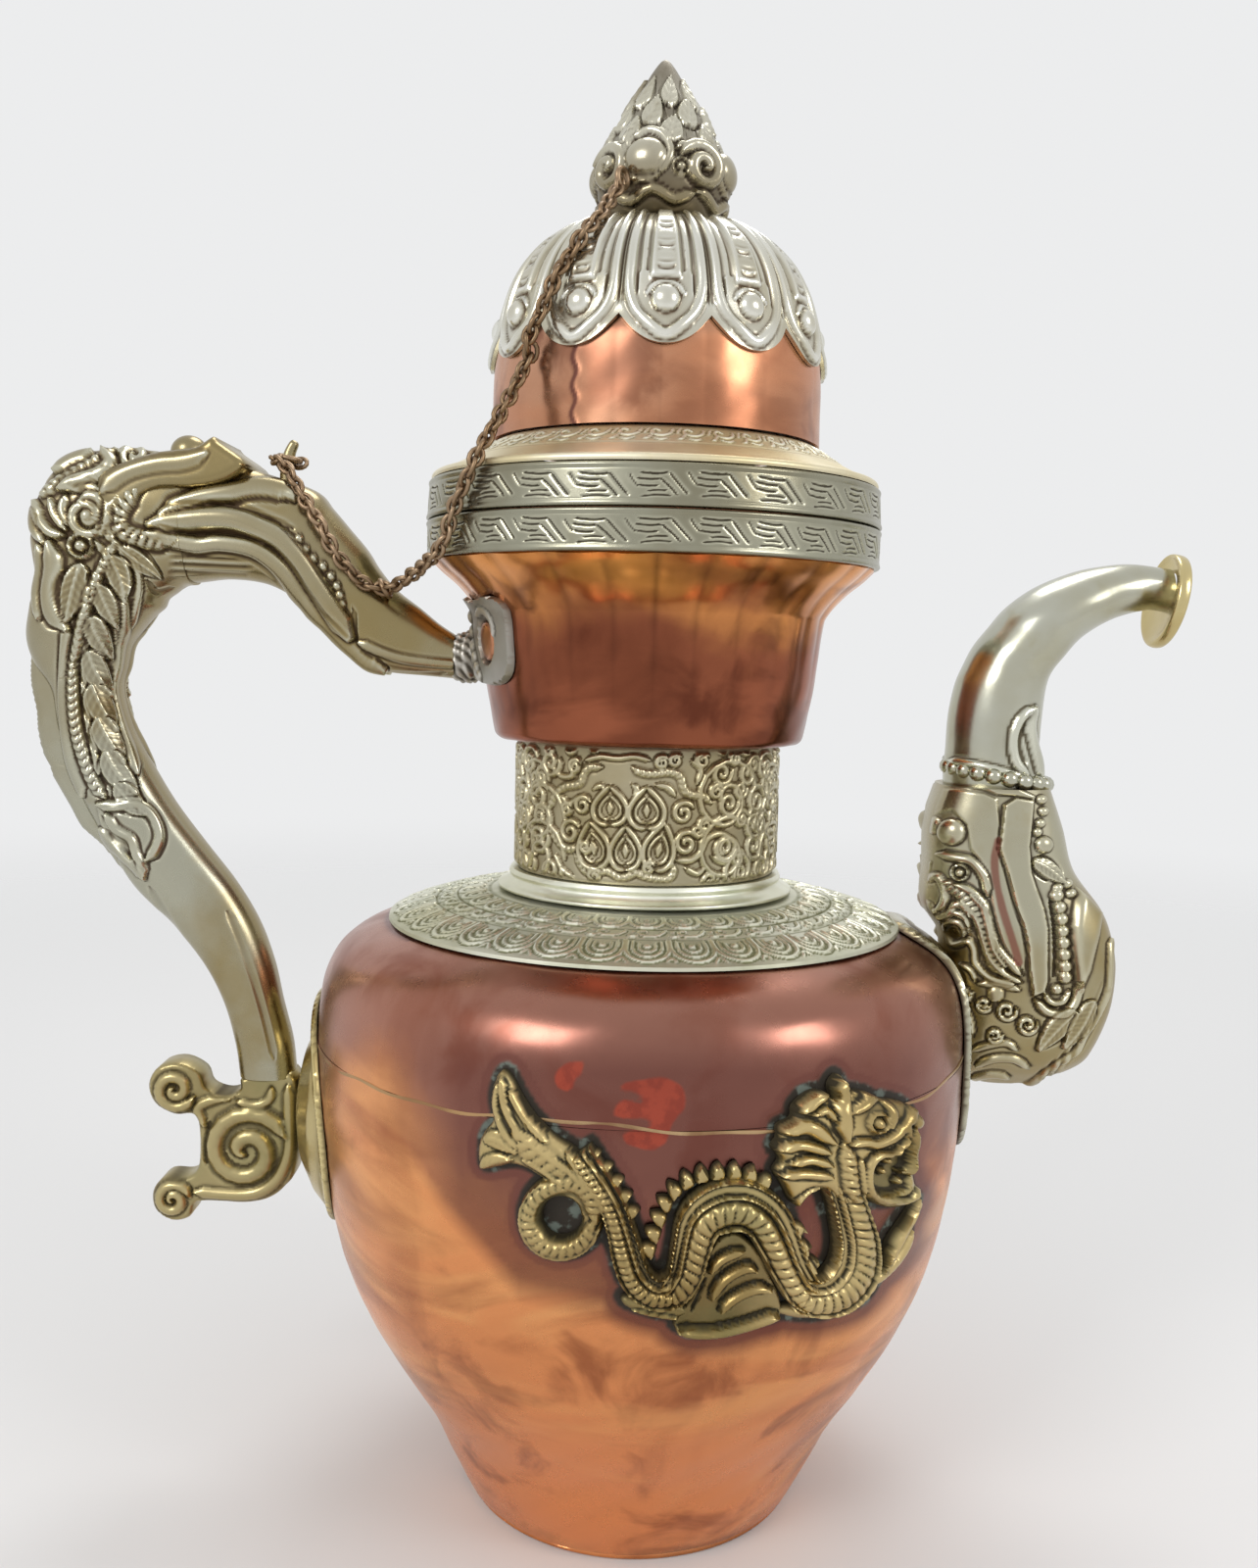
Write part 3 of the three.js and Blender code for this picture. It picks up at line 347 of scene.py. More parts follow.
# %% Distance to a line and to an outline
def near_line(seen, line):
    """The distance to a line, the run along it, the side it is on, and the line's length."""
    best, walked = np.full(len(seen), 1e9), 0.0
    run, side = np.zeros((2, len(seen)))
    for start, end in zip(line[:-1], line[1:]):
        step = end - start
        length = math.hypot(*step)
        share = np.clip((seen - start) @ step / max(length, 1e-9) ** 2, 0, 1)
        off = seen - start - share[:, None] * step
        distance = np.hypot(off[:, 0], off[:, 1])
        closer = distance < best
        best[closer] = distance[closer]
        run[closer] = walked + share[closer] * length
        side[closer] = np.sign(step[0] * off[closer, 1] - step[1] * off[closer, 0])
        walked += length
    return best, run, side, walked


def inside(seen, polygon):
    """True for the points inside a closed outline."""
    found = np.zeros(len(seen), bool)
    for (x1, y1), (x2, y2) in zip(polygon, np.roll(polygon, -1, axis=0)):
        if y1 != y2:
            crosses = (y1 > seen[:, 1]) != (y2 > seen[:, 1])
            found ^= crosses & (seen[:, 0] < (x2 - x1) * (seen[:, 1] - y1) / (y2 - y1) + x1)
    return found


def spiral_line(middle, end, turns=1.6, hand=1):
    """A line that winds in from `end` to the middle."""
    middle, end = np.array(middle, float), np.array(end, float)
    reach = np.linalg.norm(end - middle)
    start = math.atan2(end[1] - middle[1], end[0] - middle[0])
    share = np.linspace(0, 1, int(turns * 18))
    angle = start + hand * share * turns * 2 * math.pi
    radius = reach * (1 - share * 0.9)
    return middle + np.stack([np.cos(angle), np.sin(angle)], axis=1) * radius[:, None]


# %% Strokes
def stroke_profile(kind, distance, run, walked, width, side):
    """The height share of one stroke at points a distance from it."""
    ends = np.clip(np.minimum(run, walked - run) / (2.2 * width) + 0.35, 0.35, 1)
    share = distance / (width * ends)
    within = np.clip(1 - share ** 2, 0, None)
    if kind == "groove":
        return within ** 1.5
    top = within ** 0.7
    if kind == "rope":
        top *= 0.62 + 0.38 * np.abs(np.sin(math.pi * (run / (width * 1.3) + share * 0.45)))
    if kind == "ribs":
        top *= 0.42 + 0.58 * np.abs(np.sin(math.pi * (run / (width * 0.9) + side * share * 0.3))) ** 0.6
    skirt = np.where((share > 1) & (share < 1.6), np.sin(math.pi * (share - 1) / 0.6), 0)
    return top - 0.16 * skirt


def leaf_height(distance, run, walked, side, width):
    """A pointed leaf with a raised edge, a midrib and slanting veins."""
    share = np.clip(run / walked, 0, 1)
    edge = width * np.sin(math.pi * share ** 0.75) ** 0.7 + 1e-6
    across = distance / edge
    within = np.clip(1 - across ** 2, 0, None)
    veins = 0.07 * np.abs(np.sin(math.pi * (run - distance * 0.9) / (width * 0.6)))
    rim = 0.2 * np.exp(-((across - 0.82) / 0.13) ** 2)
    midrib = 0.22 * np.exp(-(distance / (width * 0.14)) ** 2)
    outline = np.where((across > 1) & (across < 1.4), -0.3 * np.sin(math.pi * (across - 1) / 0.4), 0)
    return np.sqrt(within) * 0.72 + np.where(across < 1, rim + midrib - veins, 0) + outline


def chase(seen, strokes):
    """The height in millimetres that strokes give to the points seen.

    Kinds: ridge, rope and ribs are raised lines, groove is a cut one, leaf and spiral are forms made
    of lines, ball and ring are beads, fill raises an outline and hatch fills one with cuts.
    """
    body, lines = np.zeros(len(seen)), np.zeros(len(seen))
    for kind, width, height, points in strokes:
        points = np.array(points, float)
        hand, width = (1 if width > 0 else -1), abs(width)
        if kind == "spiral":
            points, kind = spiral_line(points[0], points[1], hand=hand), "ridge"
        elif kind in ("ridge", "groove", "rope", "ribs", "leaf") and len(points) > 2:
            points = smooth_line(points, 4)
        low, high = points.min(axis=0) - 2 * width, points.max(axis=0) + 2 * width
        near = np.flatnonzero(((seen > low) & (seen < high)).all(axis=1))
        if len(near) == 0:
            continue
        spot = seen[near]
        if kind in ("ball", "ring"):
            for middle in points:
                share = np.linalg.norm(spot - middle, axis=1) / width
                if kind == "ball":
                    top = np.sqrt(np.clip(1 - share ** 2, 0, None))
                else:
                    top = 0.7 * np.exp(-((share - 0.78) / 0.16) ** 2)
                    top += 0.9 * np.sqrt(np.clip(1 - (share / 0.45) ** 2, 0, None))
                lines[near] = np.maximum(lines[near], height * top)
        elif kind in ("fill", "hatch"):
            within = inside(spot, points)
            depth, run, _, _ = near_line(spot, np.vstack([points, points[:1]]))
            soft = np.where(within, np.clip(depth / width, 0, 1), 0)
            if kind == "fill":
                body[near] += height * np.sin(soft * math.pi / 2)
            else:
                step = points[1] - points[0]
                across = (spot - points[0]) @ np.array([-step[1], step[0]]) / np.linalg.norm(step)
                lines[near] -= height * soft * (0.5 + 0.5 * np.cos(2 * math.pi * across / width))
        else:
            distance, run, side, walked = near_line(spot, points)
            if kind == "leaf":
                top = height * leaf_height(distance, run, walked, side, width)
            else:
                top = height * stroke_profile(kind, distance, run, walked, width, side)
            if kind == "groove":
                lines[near] -= top
            else:
                raised = top > 0
                now = lines[near]
                lines[near] = np.where(raised, np.maximum(now, top), now + np.where(top < 0, top, 0))
    return body + lines


def seen_on_both_faces(points):
    """Pixels of points, where those of the far face are first mirrored to the near face."""
    return to_picture(np.stack([points[:, 0], -np.abs(points[:, 1]), points[:, 2]], axis=1))


def picture_chase(points, strokes):
    """Strokes given in pixels, laid on both faces of a piece that is the same front and back."""
    return chase(seen_on_both_faces(points), strokes)


def tile_chase(degrees, radius, heights, count, strokes, shift=0.0):
    """Strokes given in millimetres on a tile that is repeated `count` times round a band."""
    tile = 2 * math.pi * radius / count
    across = np.radians(degrees + shift) * radius
    across = (across + tile / 2) % tile - tile / 2
    total = np.zeros(len(degrees))
    for step in (-1, 0, 1):
        layer = chase(np.stack([across + step * tile, heights], axis=1), strokes)
        total = np.where(np.abs(layer) > np.abs(total), layer, total)
    return total


middle_height = chase(np.zeros((1, 2)), read_strokes("ridge 1 0.5 -3,0 3,0"))[0]
print("a ridge of 0.5 mm rises", round(float(middle_height), 2), "mm in its middle")

# %% [markdown]
# ## Sums between shader sockets
# A finish is a sum of small effects: tone, stains, wear and a painted highlight on the ridges, dirt
# in the recesses. With a class that lets Python's own signs join sockets, such a sum is read as it is
# thought of.

# %% Sockets and finishes
class Socket:
    """A shader socket that stands in Python sums."""

    def __init__(self, finish, link):
        self.finish, self.link = finish, link

    def maths(self, operation, first, second=0.0, clamp=False):
        return self.finish.node("Math", {"operation": operation, "use_clamp": clamp},
                                {0: first, 1: second})

    def __add__(self, other):
        return self.maths("ADD", self, other)

    def __sub__(self, other):
        return self.maths("SUBTRACT", self, other)

    def __rsub__(self, other):
        return self.maths("SUBTRACT", other, self)

    def __mul__(self, other):
        return self.maths("MULTIPLY", self, other)

    __radd__ = __add__
    __rmul__ = __mul__

    def clamp(self):
        return self.maths("ADD", self, 0.0, clamp=True)

    def above(self, low, high):
        """0 below `low`, 1 above `high`, with a soft step between them."""
        return self.finish.node("MapRange", {"interpolation_type": "SMOOTHSTEP"},
                                {"Value": self, "From Min": low, "From Max": high})


def tone(red, green, blue):
    """A colour as the eye sees it, from 0 to 255, turned into light."""
    seen = [v / 255 for v in (red, green, blue)]
    return tuple(v / 12.92 if v <= 0.04045 else ((v + 0.055) / 1.055) ** 2.4 for v in seen) + (1.0,)


def brighter(colour, factor, most):
    return tuple(min(v * factor, most) for v in colour[:3]) + (1.0,)


class Shading:
    """A tree of shader nodes, and the one method that makes them."""

    def __init__(self, tree):
        self.tree = tree
        tree.nodes.clear()

    def node(self, kind, settings, values, out=0):
        made = self.tree.nodes.new("ShaderNode" + kind)
        for name, setting in settings.items():
            setattr(made, name, setting)
        for name, value in values.items():
            if isinstance(value, Socket):
                self.tree.links.new(value.link, made.inputs[name])
            else:
                made.inputs[name].default_value = value
        return Socket(self, made.outputs[out])

    def end(self, kind, skin):
        made = self.tree.nodes.new("ShaderNodeOutput" + kind)
        self.tree.links.new(skin.link, made.inputs["Surface"])


class Finish(Shading):
    """A material that knows the place, the height and the wear of each point."""

    def __init__(self, name):
        self.material = bpy.data.materials.new(name)
        self.material.use_nodes = True
        super().__init__(self.material.node_tree)
        self.place = self.node("TexCoord", {}, {}, "Object")
        self.height = self.node("SeparateXYZ", {}, {0: self.place}, "Z")
        worn = self.node("Attribute", {"attribute_name": "hollow"}, {}, "Fac")
        self.recess, self.ridge = worn.clamp(), (worn * -1.0).clamp()
        self.grime = self.node("Attribute", {"attribute_name": "grime"}, {}, "Fac")
        # Painted shade: how far a surface turns from the front and back, used to darken the sides of chased
        # metal.
        facing = self.node("SeparateXYZ", {}, {0: self.node("NewGeometry", {}, {}, "Normal")}, "Y")
        self.painted_side_shade = 1.0 - facing.maths("ABSOLUTE", facing)

    def noise(self, size, detail=4, stretch=(1, 1, 1), distortion=0.0):
        """Cloudy values from 0 to 1 with patches about `size` millimetres across."""
        place = self.node("Mapping", {"vector_type": "POINT"}, {"Vector": self.place, "Scale": stretch})
        return self.node("TexNoise", {}, {"Vector": place, "Scale": 500 / size, "Detail": detail,
                                          "Distortion": distortion}, "Fac")

    def dents(self, size, softness=0.6):
        """Values that rise from the middle of a hammer mark to its edges."""
        return self.node("TexVoronoi", {"feature": "SMOOTH_F1"},
                         {"Vector": self.place, "Scale": 1000 / size, "Smoothness": softness}, 0)

    def mix(self, share, first, second):
        return self.node("Mix", {"data_type": "RGBA"}, {0: share, 6: first, 7: second}, 2)

    def metal(self, colour, roughness, bumps, metallic):
        """Joins colour, roughness and bumps in millimetres into a metal surface."""
        normal = self.node("Bump", {}, {"Height": bumps, "Distance": MM, "Strength": 1.0})
        self.end("Material", self.node("BsdfPrincipled", {}, {
            "Base Color": colour, "Roughness": roughness, "Metallic": metallic, "Normal": normal}))
        return self.material


print("a copper tone in light:", [round(v, 3) for v in tone(200, 110, 72)])

# %% [markdown]
# ## Finishes
# Three metals are in sight: copper, a pale white metal (an alloy of nickel or tin) and cast brass, with
# solder where they join. Old polish stays in the recesses as brown and green dirt, while hands and
# cloths keep the ridges bright; on white metal and brass the ridges also carry a painted highlight, and
# the sides of the handle and the spout's root get painted shade. Attributes of the points tell a finish
# which is which: "hollow" is 1 in a recess and -1 on a ridge, "grime" is old flux and stain, and
# "fresh" is newly rubbed copper.

# %% Copper
def copper_finish(name, upper, lower, stain, turn_at=None, shine=0.2, dent=0.05):
    """Beaten copper: two tones that run into each other, stains, streaks, flux and fresh spots."""
    f = Finish(name)
    cloud, spots, fine = f.noise(44, 5, distortion=0.9), f.noise(9, 6, distortion=0.6), f.noise(1.3, 3)
    if turn_at is None:
        share = cloud.above(0.35, 0.68)
    else:
        share = (f.height + (cloud - 0.5) * 0.075 + f.grime.clamp() * 0.05).above(*turn_at)
    base = f.mix(share, lower, upper)
    base = f.mix((spots * 0.55 + cloud * 0.45).above(0.5, 0.62) * 0.7, base, stain)
    base = f.mix(f.noise(16, 5, stretch=(1, 1, 0.3), distortion=0.4).above(0.54, 0.7) * 0.4, base, stain)
    base = f.mix(f.noise(0.35, 2, stretch=(1, 1, 9)).above(0.56, 0.75) * 0.2, base, stain)
    banded = f.noise(26, 6, stretch=(0.6, 0.6, 2.2), distortion=0.7)
    base = f.mix(banded.above(0.47, 0.6) * (1.0 - share) * 0.75, base, brighter(lower, 1.3, 0.9))
    smoky = f.noise(19, 6, stretch=(0.5, 0.5, 1.7), distortion=0.5)
    base = f.mix(smoky.above(0.5, 0.62) * (1.0 - share) * 0.5, base, stain)
    base = f.mix((f.grime * 2.4 + (cloud - 0.5) * 0.5).clamp() * 0.85, base, tone(108, 66, 60))
    rubbed = f.node("Attribute", {"attribute_name": "fresh"}, {}, "Fac")
    fresh = (rubbed + (spots - 0.5) * 0.9 + (fine - 0.5) * 0.3).above(0.42, 0.72) * 0.8
    base = f.mix(fresh, base, f.mix(fine.above(0.4, 0.6) * 0.5, tone(176, 78, 60), tone(128, 56, 48)))
    base = f.mix(f.recess * 0.85, base, tone(62, 34, 26))
    flux = (f.grime + (spots - 0.5) * 0.5).above(0.55, 0.85)
    base = f.mix(flux * 0.94, base, tone(34, 34, 24))
    base = f.mix(flux * f.noise(2.0, 4).above(0.52, 0.64) * 0.6, base, tone(126, 138, 128))
    rough = spots * 0.24 + fine * 0.07 + flux * 0.35 + (shine - 0.1)
    bumps = f.dents(9) * dent + f.noise(22, 2) * 0.3 + fine * 0.006 + flux * spots * 0.1
    return f.metal(base, rough, bumps, 1.0 - flux * 0.7)


belly_copper = copper_finish("belly_copper", tone(174, 124, 106), tone(234, 156, 102), tone(140, 78, 54),
                             (0.094, 0.128), 0.22)
# The cup's body is darker than its flare, partly in its copper tone and partly as a painted dark reflection.
cup_copper = copper_finish("cup_copper", tone(230, 156, 88), tone(142, 82, 58), tone(84, 42, 30),
                           (0.216, 0.232), 0.15, 0.1)
seam_metal = copper_finish("seam_metal", tone(196, 168, 128), tone(172, 138, 98), tone(122, 84, 58),
                           shine=0.3, dent=0)
dome_copper = copper_finish("dome_copper", tone(208, 160, 130), tone(186, 126, 92), tone(128, 78, 58),
                            shine=0.22, dent=0.12)
print("copper finishes", [metal.name for metal in (belly_copper, cup_copper, seam_metal, dome_copper)])


# %% White metal, brass and chain
def chased_finish(name, bright, warm, dirt, green=0.0, shine=0.24, side=0.0, fade=None):
    """Chased metal: ridges lightened by wear and by a painted highlight, a warmer ground with a soft
    tarnish, and dirt in the recesses.

    `side` paints shade, darkening what faces left and right to the warmer tone, and `fade` warms it
    between two heights in metres.
    """
    f = Finish(name)
    bright, warm, dirt = tone(*bright), tone(*warm), tone(*dirt)
    cloud, spots, fine = f.noise(26, 5), f.noise(5, 5, distortion=0.4), f.noise(0.7, 3)
    base = f.mix(cloud.above(0.42, 0.66), bright, warm)
    base = f.mix(spots.above(0.55, 0.75) * 0.4, base, warm)
    if side:
        # Painted shade: the sides are darkened towards the warm tone.
        base = f.mix((f.painted_side_shade + (cloud - 0.5) * 0.4).above(0.35, 0.8) * side, base, warm)
    if fade:
        base = f.mix((f.height + (cloud - 0.5) * 0.03).above(*fade) * 0.75, base, warm)
    if green:
        base = f.mix((f.noise(11, 4) + f.recess * 0.25).above(0.5, 0.7) * green, base, tone(112, 124, 84))
    base = f.mix((f.recess * 1.25 + (spots - 0.5) * f.recess).clamp() * 0.93, base, dirt)
    # Painted highlight, partly wear: the ridges are lightened well above the bright tone.
    base = f.mix((f.ridge * 1.3).clamp() * 0.75, base, brighter(bright, 1.45, 0.93))
    base = f.mix((f.grime + (spots - 0.5) * 0.5).above(0.3, 0.7) * 0.8, base, tone(132, 78, 66))
    rough = f.recess * 0.38 + spots * 0.16 + fine * 0.06 + (shine - 0.08)
    bumps = fine * 0.012 + f.noise(0.4, 2, stretch=(1, 1, 7)) * 0.006 + spots * 0.03
    return f.metal(base, rough, bumps, 1.0 - f.recess * 0.55)


# side= paints shade on the sides of the handle and of the spout's root.
handle_metal = chased_finish("handle_metal", (172, 170, 152), (148, 132, 92), (62, 42, 20),
                             side=0.75, fade=(0.180, 0.236))
spout_metal = chased_finish("spout_metal", (188, 188, 174), (170, 164, 134), (76, 66, 42), shine=0.2)
root_metal = chased_finish("root_metal", (178, 174, 152), (156, 140, 98), (58, 44, 24), shine=0.26,
                           side=0.4, fade=(0.150, 0.118))
cap_metal = chased_finish("cap_metal", (216, 215, 204), (192, 186, 164), (84, 62, 38), shine=0.2)
sleeve_metal = chased_finish("sleeve_metal", (200, 192, 164), (172, 158, 118), (92, 72, 38), 0.1, 0.3)
plate_metal = chased_finish("plate_metal", (236, 236, 220), (212, 210, 182), (104, 104, 66), 0.3, 0.34)
band_metal = chased_finish("band_metal", (158, 156, 138), (132, 126, 104), (56, 46, 32), shine=0.26)
bracket_brass = chased_finish("bracket_brass", (170, 156, 114), (138, 124, 82), (72, 60, 34), 0.2, 0.3)
dragon_brass = chased_finish("dragon_brass", (198, 176, 124), (146, 124, 78), (34, 28, 16), 0.3, 0.28)
lip_brass = chased_finish("lip_brass", (206, 190, 140), (182, 162, 108), (78, 62, 32), shine=0.22)
chain_metal = chased_finish("chain_metal", (164, 140, 114), (132, 108, 82), (60, 44, 30), shine=0.4)
flange_metal = chased_finish("flange_metal", (232, 224, 198), (212, 198, 156), (110, 88, 52), shine=0.42)
finial_metal = chased_finish("finial_metal", (206, 202, 184), (128, 112, 76), (60, 44, 26), shine=0.22,
                             fade=(0.337, 0.323))
solder_metal = chased_finish("solder_metal", (176, 172, 164), (134, 126, 112), (74, 66, 54), 0.15, 0.42)
print("chased finishes made")

# %% [markdown]
# ## Belly, neck and cup
# The vessel is raised from sheet copper: a lower bowl and an upper dome meet at a brazed seam, and
# a cup stands on a short neck. Turning one measured wall line round the axis gives each of them
# its true shape, and a slow waviness keeps the reflections of a hammered wall alive.

# %% Hand-beaten unevenness
def beaten(amount, seed=0.0):
    """A slow waviness, in millimetres, of a wall beaten by hand."""
    def work(points, degrees, radii, heights):
        turn = np.radians(degrees)
        slow = np.sin(3 * turn + heights * 0.045 + seed) + 0.7 * np.sin(7 * turn - heights * 0.11 + seed)
        quick = np.sin(17 * turn + heights * 0.31 + seed) * np.sin(heights * 0.27 + 5 * turn)
        return amount * (0.6 * slow + 0.4 * quick)
    return work


# %% Belly and base
FOOT_RADIUS, BELLY_RADIUS, NECK_RADIUS, WALL = 42.6, 82.1, 31.3, 1.6
SEAM_LOW, SEAM_TOP, SHOULDER_HEIGHT = 118.72, 118.86, 154.4
bowl_shares = [(0, .02), (.078, .137), (.19, .294), (.302, .499), (.422, .696), (.551, .843),
               (.715, .942), (.87, .99), (1, 1)]
shoulder_shares = [(0, 1), (.19, .994), (.38, .975), (.53, .935), (.64, .875), (.73, .78),
                   (.82, .62), (.91, .41), (.97, .2), (1, 0)]
bowl_line = smooth_line(along(bowl_shares, 1.9, SEAM_LOW, FOOT_RADIUS, BELLY_RADIUS), 8)
shoulder_line = smooth_line(along(shoulder_shares, SEAM_TOP, SHOULDER_HEIGHT, NECK_RADIUS,
                                  BELLY_RADIUS), 6)

belly_bowl = turned_piece("belly_bowl", even_line(bowl_line, 1.0), inner_wall(bowl_line, WALL),
                          belly_copper, ["body_lower"], segments=480, work=beaten(0.16))
belly_shoulder = turned_piece("belly_shoulder", even_line(shoulder_line, 1.0),
                              inner_wall(shoulder_line, WALL), belly_copper, ["body_upper"],
                              segments=480, work=beaten(0.14, 1.0))


def seam_waves(points, degrees, radii, heights):
    """Moves the seam up and down as a hand would, and makes its solder uneven."""
    turn = np.radians(degrees)
    points[:, 2] += 0.8 * np.sin(4 * turn + 0.6) + 0.5 * np.sin(9 * turn) + 0.25 * np.sin(23 * turn)
    return 0.04 * np.sin(41 * turn)


seam_middle = (SEAM_LOW + SEAM_TOP) / 2
seam_line = [(BELLY_RADIUS + out, seam_middle + up)
             for out, up in ((-1, -0.5), (0.08, -0.36), (0.16, 0), (0.08, 0.36), (-1, 0.5))]
seam_inside = [(BELLY_RADIUS - 1.6, seam_middle + up) for up in (-0.5, 0.5)]
turned_piece("belly_seam_braze", seam_line, seam_inside, seam_metal, ["belly_seam"], segments=360,
             work=seam_waves)
base_line = [(0.05, 0.4), (30, 0.35), (38, 0.2), (41.6, 0), (42.4, 0.3), (42.6, 1), (42.2, 1.6), (0.05, 1.6)]
turned_piece("base_sheet", base_line, None, belly_copper, ["base_plate"], segments=120, work=beaten(0.02))

# %% Cup
CUP_LOW, CUP_FLARE, CUP_TOP = 193.4, 225.8, 236.6
FLOOR_RADIUS, WAIST_RADIUS, MOUTH_RADIUS = 38.8, 44.4, 55.2
cup_line = along([(0, -.34), (.005, -.19), (.02, -.06), (.042, .02), (.068, .06), (.11, .11), (.2, .21),
                  (.45, .47), (.88, .77), (1, 1)], CUP_LOW, CUP_FLARE, FLOOR_RADIUS, WAIST_RADIUS)
cup_line += along([(.45, .38), (.77, .76), (1, 1)], CUP_FLARE, CUP_TOP, WAIST_RADIUS, MOUTH_RADIUS)
cup_line = smooth_line(cup_line, 6)


def cup_facets(points, degrees, radii, heights):
    """The flare is beaten out in upright strips, each a little flat."""
    turn = np.radians(degrees)
    strips = np.abs(np.sin(turn * 13 + 0.4 * np.sin(turn * 5)))
    share = np.clip((heights - 199) / 30, 0, 1)
    return beaten(0.16, 2.0)(points, degrees, radii, heights) + (strips - 0.6) * 0.4 * share


cup_hole = NECK_RADIUS - 0.4
cup_inner = offset_line(cup_line, -WALL)
cup_inner = np.vstack([[(cup_hole, CUP_LOW + WALL)], cup_inner[cup_inner[:, 1] > CUP_LOW + WALL]])
turned_piece("cup_wall", np.vstack([[(cup_hole, CUP_LOW)], cup_line]), cup_inner, cup_copper, ["cup"],
             segments=260, work=cup_facets)

# %% Neck
turned_piece("neck_pipe", [(31, 151.4), (31, 193.1)], [(29.4, 151.4), (29.4, 193.1)], sleeve_metal,
             ["neck_tube"], segments=120, work=beaten(0.02))
collar = smooth_line([(37.4, 156.0), (37.3, 156.7), (35.4, 157.5), (34.4, 158.6), (34.7, 159.6),
                      (34.2, 160.6)], 4)
turned_piece("neck_collar", collar, [(NECK_RADIUS, 156.0), (NECK_RADIUS, 160.6)], plate_metal,
             ["neck_foot_ring"], work=beaten(0.06, 3.0))
print("vessel walls turned")

# %% [markdown]
# ## Bodies that are not round: handle and spout
# Head, snout and stem of the handle, and the root and tube of the spout, are hollow bodies soldered
# from two halves. Each was measured as pairs of edge points with a half width. A soft body is lofted
# through them on an even fine grid, so the chisel strokes have enough points to move.

# %% Lofted bodies
def loft_points(stations, rows, columns, power=0.8):
    """Rings of points through stations of (outer x, outer z, inner x, inner z, half width)."""
    line = smooth_line(stations, 12)
    walked = lengths_along((line[:, :2] + line[:, 2:4]) / 2)
    line = read_line(np.linspace(0, walked[-1], rows), walked, line)
    angle = np.linspace(0, 2 * math.pi, columns * 20 + 1)
    reach = np.sign(np.cos(angle)) * np.abs(np.cos(angle)) ** power
    across = np.sign(np.sin(angle)) * np.abs(np.sin(angle)) ** power
    deep = np.hypot(line[:, 0] - line[:, 2], line[:, 1] - line[:, 3]).mean() / 2
    walked = lengths_along(np.stack([reach * deep, across * line[:, 4].mean()], axis=1))
    even = np.linspace(0, walked[-1], columns, endpoint=False)
    reach, across = np.interp(even, walked, reach), np.interp(even, walked, across)
    middle_x, middle_z = (line[:, :1] + line[:, 2:3]) / 2, (line[:, 1:2] + line[:, 3:4]) / 2
    half_x, half_z = (line[:, :1] - line[:, 2:3]) / 2, (line[:, 1:2] - line[:, 3:4]) / 2
    points = np.stack([middle_x + half_x * reach, line[:, 4:5] * across, middle_z + half_z * reach], 2)
    return points.reshape(-1, 3)


def sheet_normals(points, rows, columns):
    """Outward directions of a lofted sheet that is closed round its columns."""
    grid = points.reshape(rows, columns, 3)
    around_step = np.roll(grid, -1, axis=1) - np.roll(grid, 1, axis=1)
    along_step = np.gradient(grid, axis=0)
    normal = np.cross(around_step, along_step)
    normal /= np.maximum(np.linalg.norm(normal, axis=2, keepdims=True), 1e-9)
    middle = grid.mean(axis=1, keepdims=True)
    if ((grid - middle) * normal).sum() < 0:
        normal = -normal
    return normal.reshape(-1, 3)


def lofted_piece(name, stations, rows, columns, finish, nodes, strokes, power=0.8, bore=0, stains=None):
    """A lofted body chased with strokes seen in the picture; a bore makes it a pipe with that wall."""
    points = loft_points(stations, rows, columns, power)
    normal = sheet_normals(points, rows, columns)
    rise = picture_chase(points, strokes) * np.clip((np.abs(normal[:, 1]) - 0.12) / 0.3, 0, 1)
    inner = (points - normal * bore).reshape(rows, columns, 3)[::-1].reshape(-1, 3)
    points = points + normal * rise[:, None]
    if bore:
        points, rise = np.vstack([points, inner]), np.concatenate([rise, np.zeros(len(inner))])
        faces = sheet_faces(rows * 2, columns, round_rows=True)
    else:
        faces = capped(sheet_faces(rows, columns), rows, columns)
    grime = stains(points) if stains else None
    return add_piece(name, points, faces, finish, "vessel", nodes, rise, grime=grime)


# %% [markdown]
# ## Chisel lines of the makara handle
# A makara, the sea beast of Indian and Tibetan metalwork, bites the stem and stretches its snout to
# the cup. Every roll of skin, leaf and curl was looked at in the picture and is written here as
# a stroke with its points in pixels; the skin below them is the soft body.

# %% Head and snout strokes
SNOUT_STROKES = read_strokes("""
ridge 10 2 164,525 186,514 207,507 235,502 262,497 286,500 300,509
groove 4 0.7 162,530 193,521 224,514 248,521 276,531 293,543
ridge 12 2.5 152,535 179,531 214,528 241,530 266,540 286,550 303,568 317,588 331,609 345,630 359,650
groove 4 0.6 152,547 186,547 221,545 248,550 272,561 290,578 303,599 321,619
ridge 9 1.8 148,543 172,550 200,556 224,554 255,559 276,571 293,588 307,609 324,630 338,643 355,661
372,678 393,683
ball 5 1 305,550 312,561 320,570 330,578 338,588 344,598 347,607 349,616
hatch 8 0.5 172,560 240,563 262,576 252,590 170,592
ridge 5 0.8 366,655 385,664 410,672 440,676 468,678
groove 3 0.4 350,668 380,684 420,688 455,687
""")
